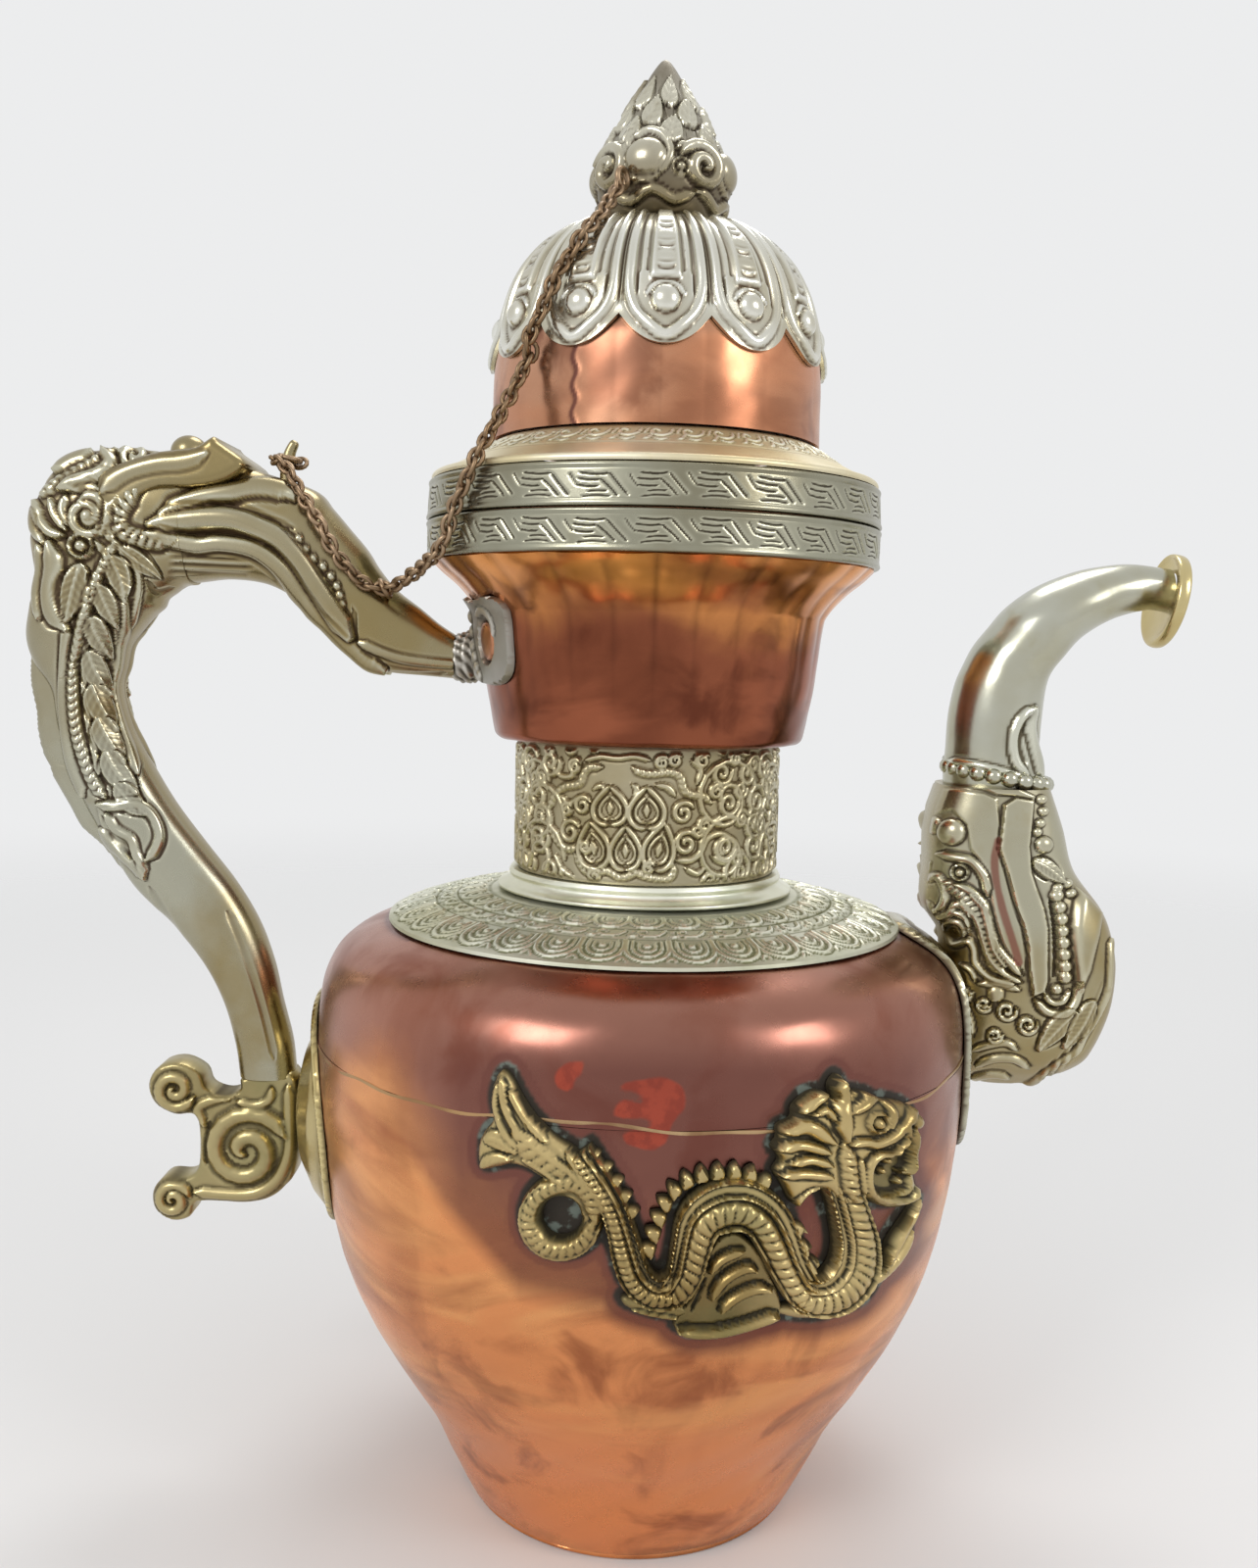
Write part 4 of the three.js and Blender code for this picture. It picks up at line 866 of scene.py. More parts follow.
HEAD_STROKES = SNOUT_STROKES + read_strokes("""
ribs 10 1.9 143,499 131,508 122,522 121,535 130,545 146,550 165,552 178,549
spiral 6 1.8 90,527 111,522
ball 8 2.2 90,527
ring 15 2.3 83,557
spiral 5 1.5 138,466 154,469
rope 6 1.4 44,506 58,494 74,483 92,474 106,466 118,460
rope 5 1.2 59,501 83,489 100,479 112,469
ridge 8 2 62,500 77,492 102,484 113,473 105,462
ridge 7 1.7 82,512 92,506 105,512 108,527 100,538
ridge 6 1.6 57,482 72,471 95,463
ridge 6 1.5 38,512 41,530 52,543 66,547
ridge 5 1.3 52,509 57,526 68,541
ridge 5 1.3 68,506 64,520 70,536
ridge 5 1.2 35,519 36,540 45,554
ridge 10 2.2 52,554 55,578 52,606 55,626 69,642
ridge 5 1.2 40,556 42,580 38,606 40,632
leaf 14 1.7 84,574 76,600 68,636
leaf 10 1.4 122,558 140,572 166,590
ridge 5 1.3 100,484 116,489 121,504 113,518 111,538 117,554
groove 4 0.8 106,500 106,520 101,545 97,566
ridge 5 1.3 98,552 108,566 112,580
ridge 4 1.1 108,546 120,556 126,566
ridge 5 1.2 120,476 124,485 136,491 152,487
ridge 5 1.1 122,462 136,456 154,458 166,466
ridge 6 1.2 72,500 88,497 104,500
ball 5 1.4 112,548 104,560
rope 6 1.6 118,552 108,572 97,596 89,618 82,646 76,676
leaf 13 1.6 112,566 122,588 128,616
leaf 12 1.5 100,596 108,616 120,642
leaf 12 1.5 94,628 100,646 114,672
ridge 5 1.2 70,640 66,668 64,690
ridge 4 0.8 134,566 142,590 140,616 134,640
groove 4 0.5 150,592 160,604 178,600
""")
STEM_STROKES = read_strokes("""
rope 6.5 1.7 103,578 95,599 88,619 81,647 75,680 75,720 79,750 85,770 92,790 100,805 108,813
ridge 5 1.1 66,640 64,700 66,740 70,770 76,790 86,812
ridge 4 0.9 88,650 86,680 86,700 89,730 95,760 101,790
leaf 13 1.7 92,628 99,648 114,674
leaf 14 1.7 90,662 98,686 113,712
leaf 14 1.7 93,698 103,722 119,748
leaf 14 1.7 99,732 110,754 128,780
leaf 14 1.7 107,766 121,790 142,812
leaf 12 1.4 118,800 132,816 152,832
ridge 6 1.4 100,820 118,822 135,820 150,826 160,840 163,855 158,868 150,878
fill 8 0.7 98,822 136,822 158,842 160,858 150,880 146,896 124,876 104,848
ridge 5 1.2 110,830 120,845 135,855 140,870 145,880 148,895
ridge 5 1 103,845 112,860 125,872 138,885 148,897
groove 4 0.8 104,832 114,850 128,862 136,876
ridge 6 1 124,600 128,640 122,690 128,740 140,790
groove 5 0.3 232,930 252,980 268,1030 280,1080
groove 5 0.3 152,905 180,952 206,1004 226,1056 240,1098
""")
print(len(HEAD_STROKES) + len(STEM_STROKES), "strokes on the handle")

# %% Handle stations
HANDLE_REACH, HANDLE_FACE = 157.0, 49.34
SNOUT_LOW, SNOUT_TALL = 207.6, 54.8
STEM_NEAR, STEM_OUT, STEM_LOW, STEM_TALL = 89.5, 67.5, 103.8, 103.5
HEAD_WIDE, HEAD_NARROW, STEM_WIDE = 12.5, 5.6, 8.6


def on_face(x, z):
    """A place on the snout or head from shares of their reach and height."""
    return -between(HANDLE_FACE, HANDLE_REACH, x), SNOUT_LOW + SNOUT_TALL * z


def on_stem(x, z):
    """A place on the stem from shares of its reach and height."""
    return -(STEM_NEAR + STEM_OUT * x), STEM_LOW + STEM_TALL * z


snout_shares = [
    (.66, .92, .65, .44, .8), (.62, .955, .62, .41, .93), (.52, .95, .53, .43, .9), (.44, .91, .44, .41, .8),
    (.33, .84, .37, .34, .7), (.29, .76, .33, .26, .62), (.25, .67, .3, .21, .56),
    (.21, .58, .27, .15, .5), (.18, .49, .24, .1, .44), (.14, .4, .2, .04, .38),
    (.085, .32, .147, .02, .25), (.04, .25, .07, .01, .12), (0, .2, 0, 0, 0)]
head_shares = [
    (.985, .03, .776, .02, .46), (1, .15, .765, .12, .7), (.99, .29, .74, .19, .85),
    (.977, .44, .714, .25, .95), (.985, .625, .69, .29, 1), (.96, .81, .68, .33, 1),
    (.906, .94, .66, .36, 1), (.83, .995, .647, .38, 1), (.72, 1, .633, .395, 1),
    (.614, .96, .614, .4, .95)]
stem_shares = [
    (.92, 1, .648, 1, 1), (.91, .952, .66, .952, 1), (.888, .856, .62, .856, .98),
    (.85, .76, .545, .765, .96), (.784, .663, .458, .673, .94), (.7, .567, .346, .577, .92),
    (.609, .471, .23, .481, .9), (.46, .375, .143, .385, .88), (.343, .279, .087, .285, .86),
    (.269, .183, .052, .183, .84), (.227, .082, .015, .087, .82), (.209, 0, 0, 0, .82)]
snout_stations, head_stations = [
    [(*on_face(ux, uz), *on_face(lx, lz), between(HEAD_NARROW, HEAD_WIDE, w)) for ux, uz, lx, lz, w in shares]
    for shares in (snout_shares, head_shares)]
stem_stations = [(*on_stem(ox, oz), *on_stem(ix, iz), STEM_WIDE * w) for ox, oz, ix, iz, w in stem_shares]
lofted_piece("handle_snout", snout_stations, 230, 170, handle_metal, ["handle_trunk"], SNOUT_STROKES)
beast_stations = stem_stations[:0:-1] + head_stations
lofted_piece("handle_stem_and_head", beast_stations, 500, 178, handle_metal, ["handle_stem", "handle_head"],
             STEM_STROKES + HEAD_STROKES)

# %% [markdown]
# ## Chisel lines of the spout's beast
# The spout springs from a second makara, whose jaws swallow the plain tube. Its root is raised in
# relief: an eye, curls, a row of teeth and feathered scales round two flat soldered panels.

# %% Spout strokes
ROOT_STROKES = read_strokes("""
fill 3 1.1 958,791 1004,797 1040,804 1057,812 1055,817 1034,813 1017,812 1005,807 980,803 953,801
fill 3 0.5 953,803 980,805 1005,809 1018,815 1021,840 1018,866 1026,890 1034,921 1043,947 1048,975
1046,992 1034,984 1022,962 1014,934 1010,908 1003,886 990,866 986,842 972,828 953,832
fill 3 1.5 1023,821 1036,813 1055,816 1053,842 1051,864 1053,890 1059,908 1066,927 1070,947 1070,973
1070,999 1067,1012 1053,1018 1049,991 1047,964 1043,947 1034,921 1026,890 1018,866 1021,840
ball 5 1.4 1062,816 1064,828 1061,840 1058,849
ball 9 1.6 1065,862
leaf 9 1.6 1053,878 1068,886 1086,902
ball 5 1.5 1088,902 1079,906 1092,912
ball 7 1.6 1078,914 1081,926 1083,938 1084,950 1085,962 1086,974 1087,986 1087,997
groove 2.5 0.9 1072,918 1076,945 1077,975 1076,1002
fill 9 2.2 1097,903 1110,915 1125,932 1122,956 1114,991 1103,1016 1096,1004 1092,975 1091,945
ridge 5 1.6 1056,1020 1069,1032 1087,1034 1098,1019 1100,1003
ridge 3.5 1.3 1065,1012 1072,1022 1084,1022 1091,1010
ball 6 1.6 1078,1009
leaf 11 1.4 1098,1030 1076,1052 1058,1072
leaf 10 1.3 1116,1020 1102,1048 1084,1070
ball 14 2.6 972,849
ball 9 1.8 953,842
ridge 5 1 1040,1010 1024,1004 1010,1003 999,1004
ball 9 1.1 1016,1014
spiral 3.2 1.3 1027,1031 1037,1028
spiral 3 1.2 1015,1056 1023,1056
spiral 3.2 1.3 1048,1045 1058,1042
spiral 3 1.2 1004,1025 1012,1024
ridge 3 1 1133,958 1131,1006 1123,1029 1111,1052 1098,1073 1081,1085 1065,1096 1046,1108 1015,1112
hatch 8 0.7 1124,1000 1108,1041 1085,1072 1054,1098 1070,1108 1112,1066 1134,1010
ridge 4 1.1 992,1071 1010,1066 1027,1064 1038,1071
ridge 4 1.1 996,1086 1014,1080 1034,1080 1050,1088
ridge 3.5 1 990,1100 1012,1096 1030,1098
ring 10 1.9 980,890
ridge 5 1.4 958,871 977,875 992,879 1004,895 1008,914
ridge 4.5 1.3 942,898 958,895 965,914 958,929 946,929
ridge 4.5 1.4 944,918 954,933 967,935 975,923 983,925 990,935
ridge 3.5 1.1 956,946 962,934 973,931 985,936 990,950
ridge 3.5 1.1 961,952 966,942 974,940 982,944 985,954
ridge 4.5 1.4 975,902 992,910 1006,925 1011,948 1019,968 1031,983 1042,995
ridge 4 1.3 981,918 996,937 1004,960 1011,979 1027,995 1042,1002
ridge 4 1.3 958,952 973,964 988,960 994,968 996,983 1011,998 1035,1004
ridge 4 1.4 1026,986 1014,968 1008,946 1003,926 990,912
ribs 7 1.2 964,899 986,917 999,938 1006,960 1014,982 1026,993
ridge 3.5 1.1 981,983 992,991 996,1002
ridge 4 1.2 950,962 962,980 974,996
ridge 3.5 1.1 946,948 950,962 960,974
spiral 3 1.2 984,1014 992,1012
ridge 4 1.1 968,1004 980,1020 990,1040 992,1058
ridge 4 1.2 950,880 944,890 942,906
""")
TUBE_STROKES = read_strokes("""
ridge 5 1.2 1056,721 1042,733 1035,748 1034,764 1038,779 1048,791
ridge 5 1.2 1056,721 1052,738 1054,758 1062,787 1063,795
groove 3 0.6 1046,742 1042,760 1048,780
ridge 4 0.8 968,776 1000,781 1034,790 1058,802
""")
print(len(ROOT_STROKES) + len(TUBE_STROKES), "strokes on the spout")

# %% Spout stations
SPOUT_LOW, SPOUT_TALL, SPOUT_OUT, ROOT_WIDE = 107.2, 133.4, 46.3, 17.5
root_shares = [
    (.1, 0, .45, 0, .3), (-.1, .035, .67, .04, .66), (-.1, .08, .745, .08, .9),
    (-.1, .155, .82, .155, 1), (-.1, .23, .84, .23, 1), (-.12, .29, .81, .29, 1),
    (-.22, .345, .745, .345, .97), (-.22, .42, .58, .42, .93), (-.22, .5, .51, .5, .88),
    (-.16, .575, .43, .575, .82)]
tube_shares = [
    (-.02, .545, .33, .545), (-.125, .57, .395, .57), (-.125, .65, .38, .65), (-.118, .71, .385, .71),
    (-.09, .765, .4, .765), (-.052, .8, .43, .795), (0, .838, .49, .823), (.08, .875, .56, .853),
    (.17, .913, .64, .875), (.32, .952, .73, .893), (.52, .982, .82, .905), (.7, .996, .91, .913),
    (.85, 1, .96, .915), (1.048, .993, 1.05, .911)]


def from_belly(x, z):
    """A place on the spout from shares of its reach and height."""
    return BELLY_RADIUS + SPOUT_OUT * x, SPOUT_LOW + SPOUT_TALL * z


root_stations = [(*from_belly(lx, lz), *from_belly(rx, rz), ROOT_WIDE * w)
                 for lx, lz, rx, rz, w in root_shares]
tube_stations = []
for lx, lz, rx, rz in tube_shares:
    (x1, z1), (x2, z2) = from_belly(lx, lz), from_belly(rx, rz)
    tube_stations.append((x1, z1, x2, z2, math.hypot(x2 - x1, z2 - z1) / 2))


def root_stains(points):
    """Reddish solder along the fold between the two panels."""
    fold = smooth_line(read_points("1019,858 1015,880 1018,905 1024,930 1032,955 1040,982"), 4)
    return 0.85 * np.exp(-(near_line(seen_on_both_faces(points), fold)[0] / 5.5) ** 2)


lofted_piece("spout_root_body", root_stations, 300, 270, root_metal, ["spout_root"], ROOT_STROKES,
             power=0.72, stains=root_stains)
lofted_piece("spout_pipe", tube_stations, 200, 112, spout_metal, ["spout_tube"], TUBE_STROKES, power=1,
             bore=1.2)

# %% [markdown]
# ## Rim band, lid and petal cap
# White-metal bands bind the mouth and the lid. Their slanted key pattern was engraved by hand, so
# one tile of strokes is repeated round the band and each tile is shifted a little. The dome of the
# lid is copper under a cap of twelve raised lotus petals.

# %% Bands
def band_line(low, high, low_radius, high_radius):
    """A flat band with a rounded ridge along both edges."""
    tall = high - low
    shares = [(0, -.5), (.02, -.1), (.06, .12), (.11, .02), (.16, -.12), (.2, -.1), (.8, -.1),
              (.84, -.12), (.89, .02), (.94, .12), (.98, -.1), (1, -.5)]
    line = [(between(low_radius, high_radius, h) + out, low + tall * h) for h, out in shares]
    return smooth_line(line, 4)


KEY_HOOK = read_strokes("""
groove 0.36 0.42 -6.6,-2.3 -4.6,-0.2 -2.4,2.3
groove 0.36 0.42 -4.2,-2.4 -2.4,-0.6 -0.4,1.1
groove 0.34 0.36 -2.2,2.4 0.6,2.2 4.4,2.5
groove 0.34 0.34 -0.3,1.1 2,1 5,1.3
groove 0.34 0.34 0.2,-0.3 2.4,-0.4 4.8,-0.1
groove 0.3 0.3 4.8,-0.4 6,1 6.9,2.4
groove 0.3 0.28 -2.6,-2.5 0.6,-2.3 4,-2.6
groove 0.3 0.28 -1.9,-1.4 0.4,-1.3 2.6,-1.5
""")


def key_band(middle, count):
    """Hooks engraved round a band, each pulled a little out of its place as by hand."""
    def work(points, degrees, radii, heights):
        loose = degrees + 0.7 * np.sin(np.radians(degrees) * 5 + middle)
        up = heights - middle + 0.25 * np.sin(np.radians(degrees) * 7)
        hooks = tile_chase(loose, np.median(radii), up, count, KEY_HOOK)
        return hooks + beaten(0.03, middle)(points, degrees, radii, heights)
    return work


rim_line = even_line(band_line(236.9, 246.2, 56.5, 56.6), 0.24)
turned_piece("rim_band_engraved", rim_line, [(54.7, 236.9), (54.7, 246.2)], band_metal, ["rim_band"],
             segments=900, work=key_band(241.5, 27), depth=0.08)
lid_line = even_line(band_line(246.5, 256.0, 56.6, 56.0), 0.24)
turned_piece("lid_band_engraved", lid_line, [(54.6, 246.5), (53.9, 256.0)], band_metal, ["lid_band"],
             body="lid", segments=900, work=key_band(251.2, 26), depth=0.08)

# %% Flange and inner sleeve of the lid
flange_line = smooth_line([(55.3, 256.3), (55.5, 257.0), (55.0, 257.8), (53.8, 258.2), (52.4, 258.6),
                           (49, 260.3), (46, 262.0), (43, 263.9), (40.6, 265.6), (39.6, 266.1)], 6)
flange_line = even_line(flange_line, 0.3)
SCROLL_RADIUS, RING_RADIUS = 44.0, 47.4
SCROLLS = read_strokes("""
ridge 0.42 0.34 -3.2,41.6 -2.4,43.4 -0.6,44.4 1.2,43.9 1.7,42.6 0.7,41.9 -0.2,42.6
ridge 0.4 0.3 1.6,43.9 2.6,45.6 3.4,45.8
ridge 0.36 0.3 -1.8,45.3 -0.4,46.2 1.2,45.6
ridge 0.36 0.3 2.2,41.4 3,42.6 3.4,43.6
""")


def flange_scrolls(points, degrees, radii, heights):
    """Small scrolls round the slope of the flange, inside a fine engraved ring."""
    swirls = tile_chase(degrees, SCROLL_RADIUS, radii, 38, SCROLLS)
    return swirls - 0.12 * np.exp(-((radii - RING_RADIUS) / 0.3) ** 2)


turned_piece("lid_flange_chased", flange_line, inner_wall(flange_line, 1.0), flange_metal, ["lid_flange"],
             body="lid", segments=600, work=flange_scrolls, depth=0.14)
turned_piece("lid_inner_sleeve", [(53.2, 238.1), (53.4, 239), (53.4, 256)], [(52.2, 238.1), (52.2, 256)],
             dome_copper, ["lid_sleeve"], body="lid", segments=140, work=beaten(0.02))

# %% Dome
DOME_LOW, DOME_TOP, DOME_RADIUS, TANG_RADIUS = 266.4, 318.3, 40.6, 3.3
SEAM_DEGREES = 28
dome_shares = [(0, 1), (.34, .99), (.47, .945), (.6, .9), (.71, .845), (.81, .76), (.9, .63), (.96, .45),
               (1, 0)]
dome_line = smooth_line(along(dome_shares, DOME_LOW, DOME_TOP, TANG_RADIUS, DOME_RADIUS), 8)


def dome_seam(points, degrees, radii, heights):
    """An upright brazed seam left of the front, and a beaten surface."""
    seam = np.exp(-((degrees - SEAM_DEGREES + 0.8 * np.sin(heights)) / 0.9) ** 2) * (heights < 285)
    strips = np.abs(np.sin(np.radians(degrees) * 9 + np.sin(np.radians(degrees) * 4)))
    return beaten(0.14, 4.0)(points, degrees, radii, heights) + 0.16 * seam + 0.14 * strips


def dome_stains(points):
    """Flux beside the seam."""
    degrees, heights = np.degrees(np.arctan2(-points[:, 0], -points[:, 1])), points[:, 2]
    away = degrees - SEAM_DEGREES - 0.6 + 0.8 * np.sin(heights)
    return 0.6 * np.exp(-(away / 0.8) ** 2) * (heights < 286)


turned_piece("lid_dome_copper", even_line(dome_line, 0.9), inner_wall(dome_line, 1.4), dome_copper,
             ["lid_dome"], body="lid", segments=480, work=dome_seam, stains=dome_stains)

# %% Petal cap
PETALS, PETAL_TIP, PETAL_NOTCH, TILE_RADIUS = 12, 283.8, 290.3, 40.0
PETAL_STROKES = read_strokes("""
ridge 1.35 1 -8.3,52 -8.4,34 -8.6,20 -8.5,12.5 -6.8,7.4 -3.4,3.6 0,1.5 3.4,3.6 6.8,7.4 8.5,12.5 8.6,20
8.4,34 8.3,52
groove 0.8 0.5 -6.4,52 -6.5,22 -6.4,13 -4.6,8 -2.2,5.2 0,4.1 2.2,5.2 4.6,8 6.4,13 6.5,22 6.4,52
fill 0.9 0.9 -3,38 3,38 3.9,14.5 -3.9,14.5
groove 0.6 0.5 -3.6,40 -4.6,14
groove 0.6 0.5 3.6,40 4.6,14
hatch 0.85 0.55 -2.6,15.6 2.6,15.6 2.6,18.8 -2.6,18.8
hatch 0.85 0.55 -2.4,20.6 2.4,20.6 2.4,24.4 -2.4,24.4
hatch 0.85 0.55 -2.2,26.4 2.2,26.4 2.2,30.4 -2.2,30.4
ridge 0.8 0.8 -4.4,11 -2.4,12.9 0,13.5 2.4,12.9 4.4,11
ridge 2.5 1.2 0,9.4 0,7.4
ball 3.3 2.3 0,9.8
groove 0.55 0.55 -10,52 -10,9
groove 0.5 0.4 10,52 10,9
""")


def petal_cap():
    """A shell over the dome whose lower edge is scalloped, one scallop for each petal."""
    rows, columns, back_rows = 100, 720, 6
    degrees = np.linspace(0, 360, columns, endpoint=False)
    share = np.abs(((degrees + 1) / (360 / PETALS) + 0.5) % 1 - 0.5) * 2
    edge = PETAL_TIP + (PETAL_NOTCH - PETAL_TIP) * share ** 2.1 - 0.3
    walked = lengths_along(dome_line)
    start = np.interp(edge, dome_line[:, 1], walked)
    run = between(start[None, :], walked[-1] - 0.4, np.linspace(0, 1, rows)[:, None])
    radius, height = (np.interp(run, walked, column) for column in dome_line.T)
    out_r, out_z = (np.interp(run, walked, column) for column in line_normals(dome_line).T)
    tile_up = run - np.interp(PETAL_TIP, dome_line[:, 1], walked)
    turn = np.broadcast_to(degrees + 1, run.shape)
    rise = tile_chase(turn.ravel(), TILE_RADIUS, tile_up.ravel(), PETALS, PETAL_STROKES)
    rise = rise.reshape(run.shape)
    rise *= np.clip((radius - 12) / 10, 0.15, 1) * np.clip((run - start) / 0.8, 0, 1)
    angle = np.radians(degrees)

    def skin(off, at):
        r, z = (radius + out_r * off)[at], (height + out_z * off)[at]
        return np.stack([-r * np.sin(angle), -r * np.cos(angle), z], axis=2).reshape(-1, 3)

    back = np.linspace(rows - 1, 0, back_rows).astype(int)
    points = np.vstack([skin(1.2 + rise, np.arange(rows)), skin(0.3, back)])
    faces = sheet_faces(rows + back_rows, columns, round_rows=True)
    return points, faces, np.concatenate([rise.ravel(), np.zeros(back_rows * columns)])


points, faces, rise = petal_cap()
add_piece("petal_cap_chased", points, faces, cap_metal, "lid", ["lid_petal_cap"], rise, depth=0.3)

# %% Finial
finial_shares = [(0, .55), (0, .77), (.08, .93), (.23, 1), (.33, .975), (.43, .865), (.54, .715),
                 (.66, .575), (.78, .39), (.9, .22), (.975, .09), (1, .012)]
finial_line = smooth_line(along(finial_shares, 320.1, 359.7, 0, 16.2), 10)
finial_line[:, 0] = np.maximum(finial_line[:, 0], 0.1)
FINIAL_STROKES = read_strokes("""
leaf 3.1 1.6 6.4,335.4 5.4,338.6 4,342.6
leaf 3.1 1.6 -4.6,335.4 -5.6,338.6 -7,342.6
leaf 3.4 1.5 1,339.8 0,343.2 -1.6,347.8
leaf 3.4 1.5 -10,339.8 -11,343.2 -12.6,347.8
leaf 3.4 1.5 12,339.8 11,343.2 9.4,347.8
leaf 3.8 1.3 6.8,345.4 5.4,349 3.6,354
leaf 3.8 1.3 -4.2,345.4 -5.6,349 -7.4,354
ridge 1.1 1.1 4,329.6 5,334 4.6,338.4
spiral 1.5 1.9 9.4,330.4 14.6,332.4
ball 4.6 2.4 0,331.6
ridge 1 1.1 -3.2,328 -5.2,332.6 -3.4,337.2 0.2,338.6 3.6,336.6
ring 2.3 1.4 -7.4,329.6
ridge 1 1 -10.6,334 -8.2,335 -6.4,333.6
ridge 1.3 1.3 -11,324.6 -6.4,322.4 -1.4,324.6 3.6,322.4 8.4,324.4 11,324.6
ridge 0.9 0.9 -2.8,327.4 0.4,326.4 3.6,327.8 5,331
""")


def finial_leaves(points, degrees, radii, heights):
    """Four times round: a jewel, scrolls, and three tiers of small leaves above them."""
    rise = tile_chase(degrees, 14.0, heights, 4, FINIAL_STROKES, shift=-16)
    return rise * np.clip(radii / 7, 0.12, 1)


turned_piece("finial_bud", finial_line, None, finial_metal, ["finial"], body="lid", segments=400,
             work=finial_leaves, depth=0.3, ground=0.5)

# %% [markdown]
# ## Neck sleeve and shoulder plate
# A sleeve of white metal covers the neck: three framed groups of jewels between cloud scrolls. The
# strokes were seen on the round sleeve, so they are first unrolled to a flat sheet and then laid
# round it three times. The shoulder carries a wide collar chased with two rings of lotus petals.

# %% Unrolling
def unroll(strokes, radius, scale):
    """Strokes in pixels turned into arc length and height on an upright cylinder."""
    flat = []
    for kind, width, height, pixels in strokes:
        lines = sight_lines(pixels)
        a = (lines[:, :2] ** 2).sum(axis=1)
        b = (lines[:, :2] * CAMERA_PLACE[:2]).sum(axis=1)
        c = (CAMERA_PLACE[:2] ** 2).sum() - radius ** 2
        reach = (-b - np.sqrt(np.maximum(b * b - a * c, 0))) / a
        spots = CAMERA_PLACE + lines * reach[:, None]
        turn = np.arctan2(-spots[:, 0], -spots[:, 1])
        flat.append((kind, width * scale * 1.35, height * 1.15, list(zip(turn * radius, spots[:, 2]))))
    return flat


def jewel(top, bottom, half):
    """A pointed oval with a double rim and a pearl."""
    top, bottom = np.array(top, float), np.array(bottom, float)
    step = top - bottom
    side = np.array([-step[1], step[0]]) / np.linalg.norm(step) * half
    shares = [(0, 0), (0.04, 0.5), (0.2, 0.85), (0.45, 0.92), (0.72, 0.6), (1, 0)]
    rim = [bottom + step * up - side * out for up, out in shares]
    other = [bottom + step * up + side * out for up, out in shares]
    inner = [bottom + (p - bottom) * 0.62 + step * 0.14 for p in rim]
    inner_other = [bottom + (p - bottom) * 0.62 + step * 0.14 for p in other]
    lines = [("ridge", 2.4, 0.8, line) for line in (rim, other)]
    lines += [("ridge", 1.5, 0.5, line) for line in (inner, inner_other)]
    return lines + [("ridge", 4.0, 0.8, [bottom + step * 0.3, bottom + step * 0.56])]


SLEEVE_STROKES = read_strokes("""
rope 3.6 0.8 559,826 564,813 575,803 590,800 595,789 601,783 614,783
rope 3.6 0.8 558,828 561,846 568,859 577,866 590,865
rope 3.6 0.8 645,783 653,788 666,790 684,788 695,793 699,806 706,811 719,813 727,820
ridge 3 0.7 669,801 682,804 690,813
rope 3.4 0.8 586,872 593,885 601,891 619,889 632,896 640,895 649,891 660,895 680,898 688,891 686,880
ridge 3 0.8 690,878 706,878 716,870 723,856 736,851 749,859 751,872 740,880 727,874
ridge 2.6 0.7 560,778 572,792 584,790 580,776
ridge 2.6 0.7 572,812 580,820 592,812
ridge 2.6 0.7 596,776 612,772 630,774 648,772 664,776
ridge 2.6 0.7 706,776 716,786 712,800
ridge 2.6 0.7 718,828 728,838 736,832
ridge 2.6 0.7 528,790 532,806 530,824 536,842
ridge 2.6 0.7 530,858 530,876 536,892
ridge 2.6 0.7 780,786 784,804 778,826
ridge 2.6 0.7 782,844 784,862 780,886
ridge 2.6 0.7 566,872 572,886 584,896
ridge 2.6 0.7 700,886 712,892 720,886
ridge 2.4 0.6 644,800 650,806 646,812
ridge 2.4 0.6 604,806 612,802 618,806
""")
for top, bottom, half in [((622, 802), (622, 842), 19), ((660, 803), (660, 846), 20),
                          ((601, 838), (608, 886), 17), ((638, 843), (638, 888), 17),
                          ((679, 840), (668, 888), 17)]:
    SLEEVE_STROKES += jewel(top, bottom, half)
SLEEVE_CURLS = read_points("""
594,822,9 581,849,11 561,778,11 540,776,9 549,811,11 549,854,11 537,878,9 561,888,12 698,830,12
701,861,13 738,789,11 765,791,9 745,820,11 740,865,12 773,817,9 770,863,9 756,891,9 725,898,9 770,841,9
536,832,7 526,800,8 524,850,8 527,872,8 578,826,6 606,894,7 662,886,6 586,782,7 676,778,7 732,808,7
757,806,7 758,836,7 754,876,7 786,800,7 788,834,7 786,872,7 713,848,6 550,832,6 552,792,7 597,864,6
770,780,6 716,764,6 740,764,6 764,764,6 560,764,6 582,764,6 606,762,6 720,842,7 718,776,8 752,774,7
690,776,7
""")
for x, y, r in SLEEVE_CURLS:
    hand = 1 if (x + y) % 2 else -1
    SLEEVE_STROKES.append(("spiral", 2.6 * hand, 0.8, [(x, y), (x + r * 0.9, y - r * 0.4)]))
SLEEVE_RADIUS, MM_IN_PIXEL = 33.4, 0.227
flat_sleeve = unroll(SLEEVE_STROKES, SLEEVE_RADIUS, MM_IN_PIXEL)


def sleeve_work(points, degrees, radii, heights):
    """The unrolled strokes three times round, fading at both edges."""
    rise = tile_chase(degrees, SLEEVE_RADIUS, heights, 3, flat_sleeve)
    edge = np.clip((np.minimum(heights - 161.4, 192.6 - heights)) / 0.8, 0, 1)
    return rise * edge + beaten(0.05, 5.0)(points, degrees, radii, heights)


sleeve_line = even_line([(32.6, 160.9), (32.75, 161.4), (32.75, 192.6), (32.6, 193.1)], 0.3)
turned_piece("neck_sleeve_chased", sleeve_line, [(NECK_RADIUS, 160.9), (NECK_RADIUS, 193.1)],
             sleeve_metal, ["neck_sleeve"], segments=740, work=sleeve_work, ground=0.32)

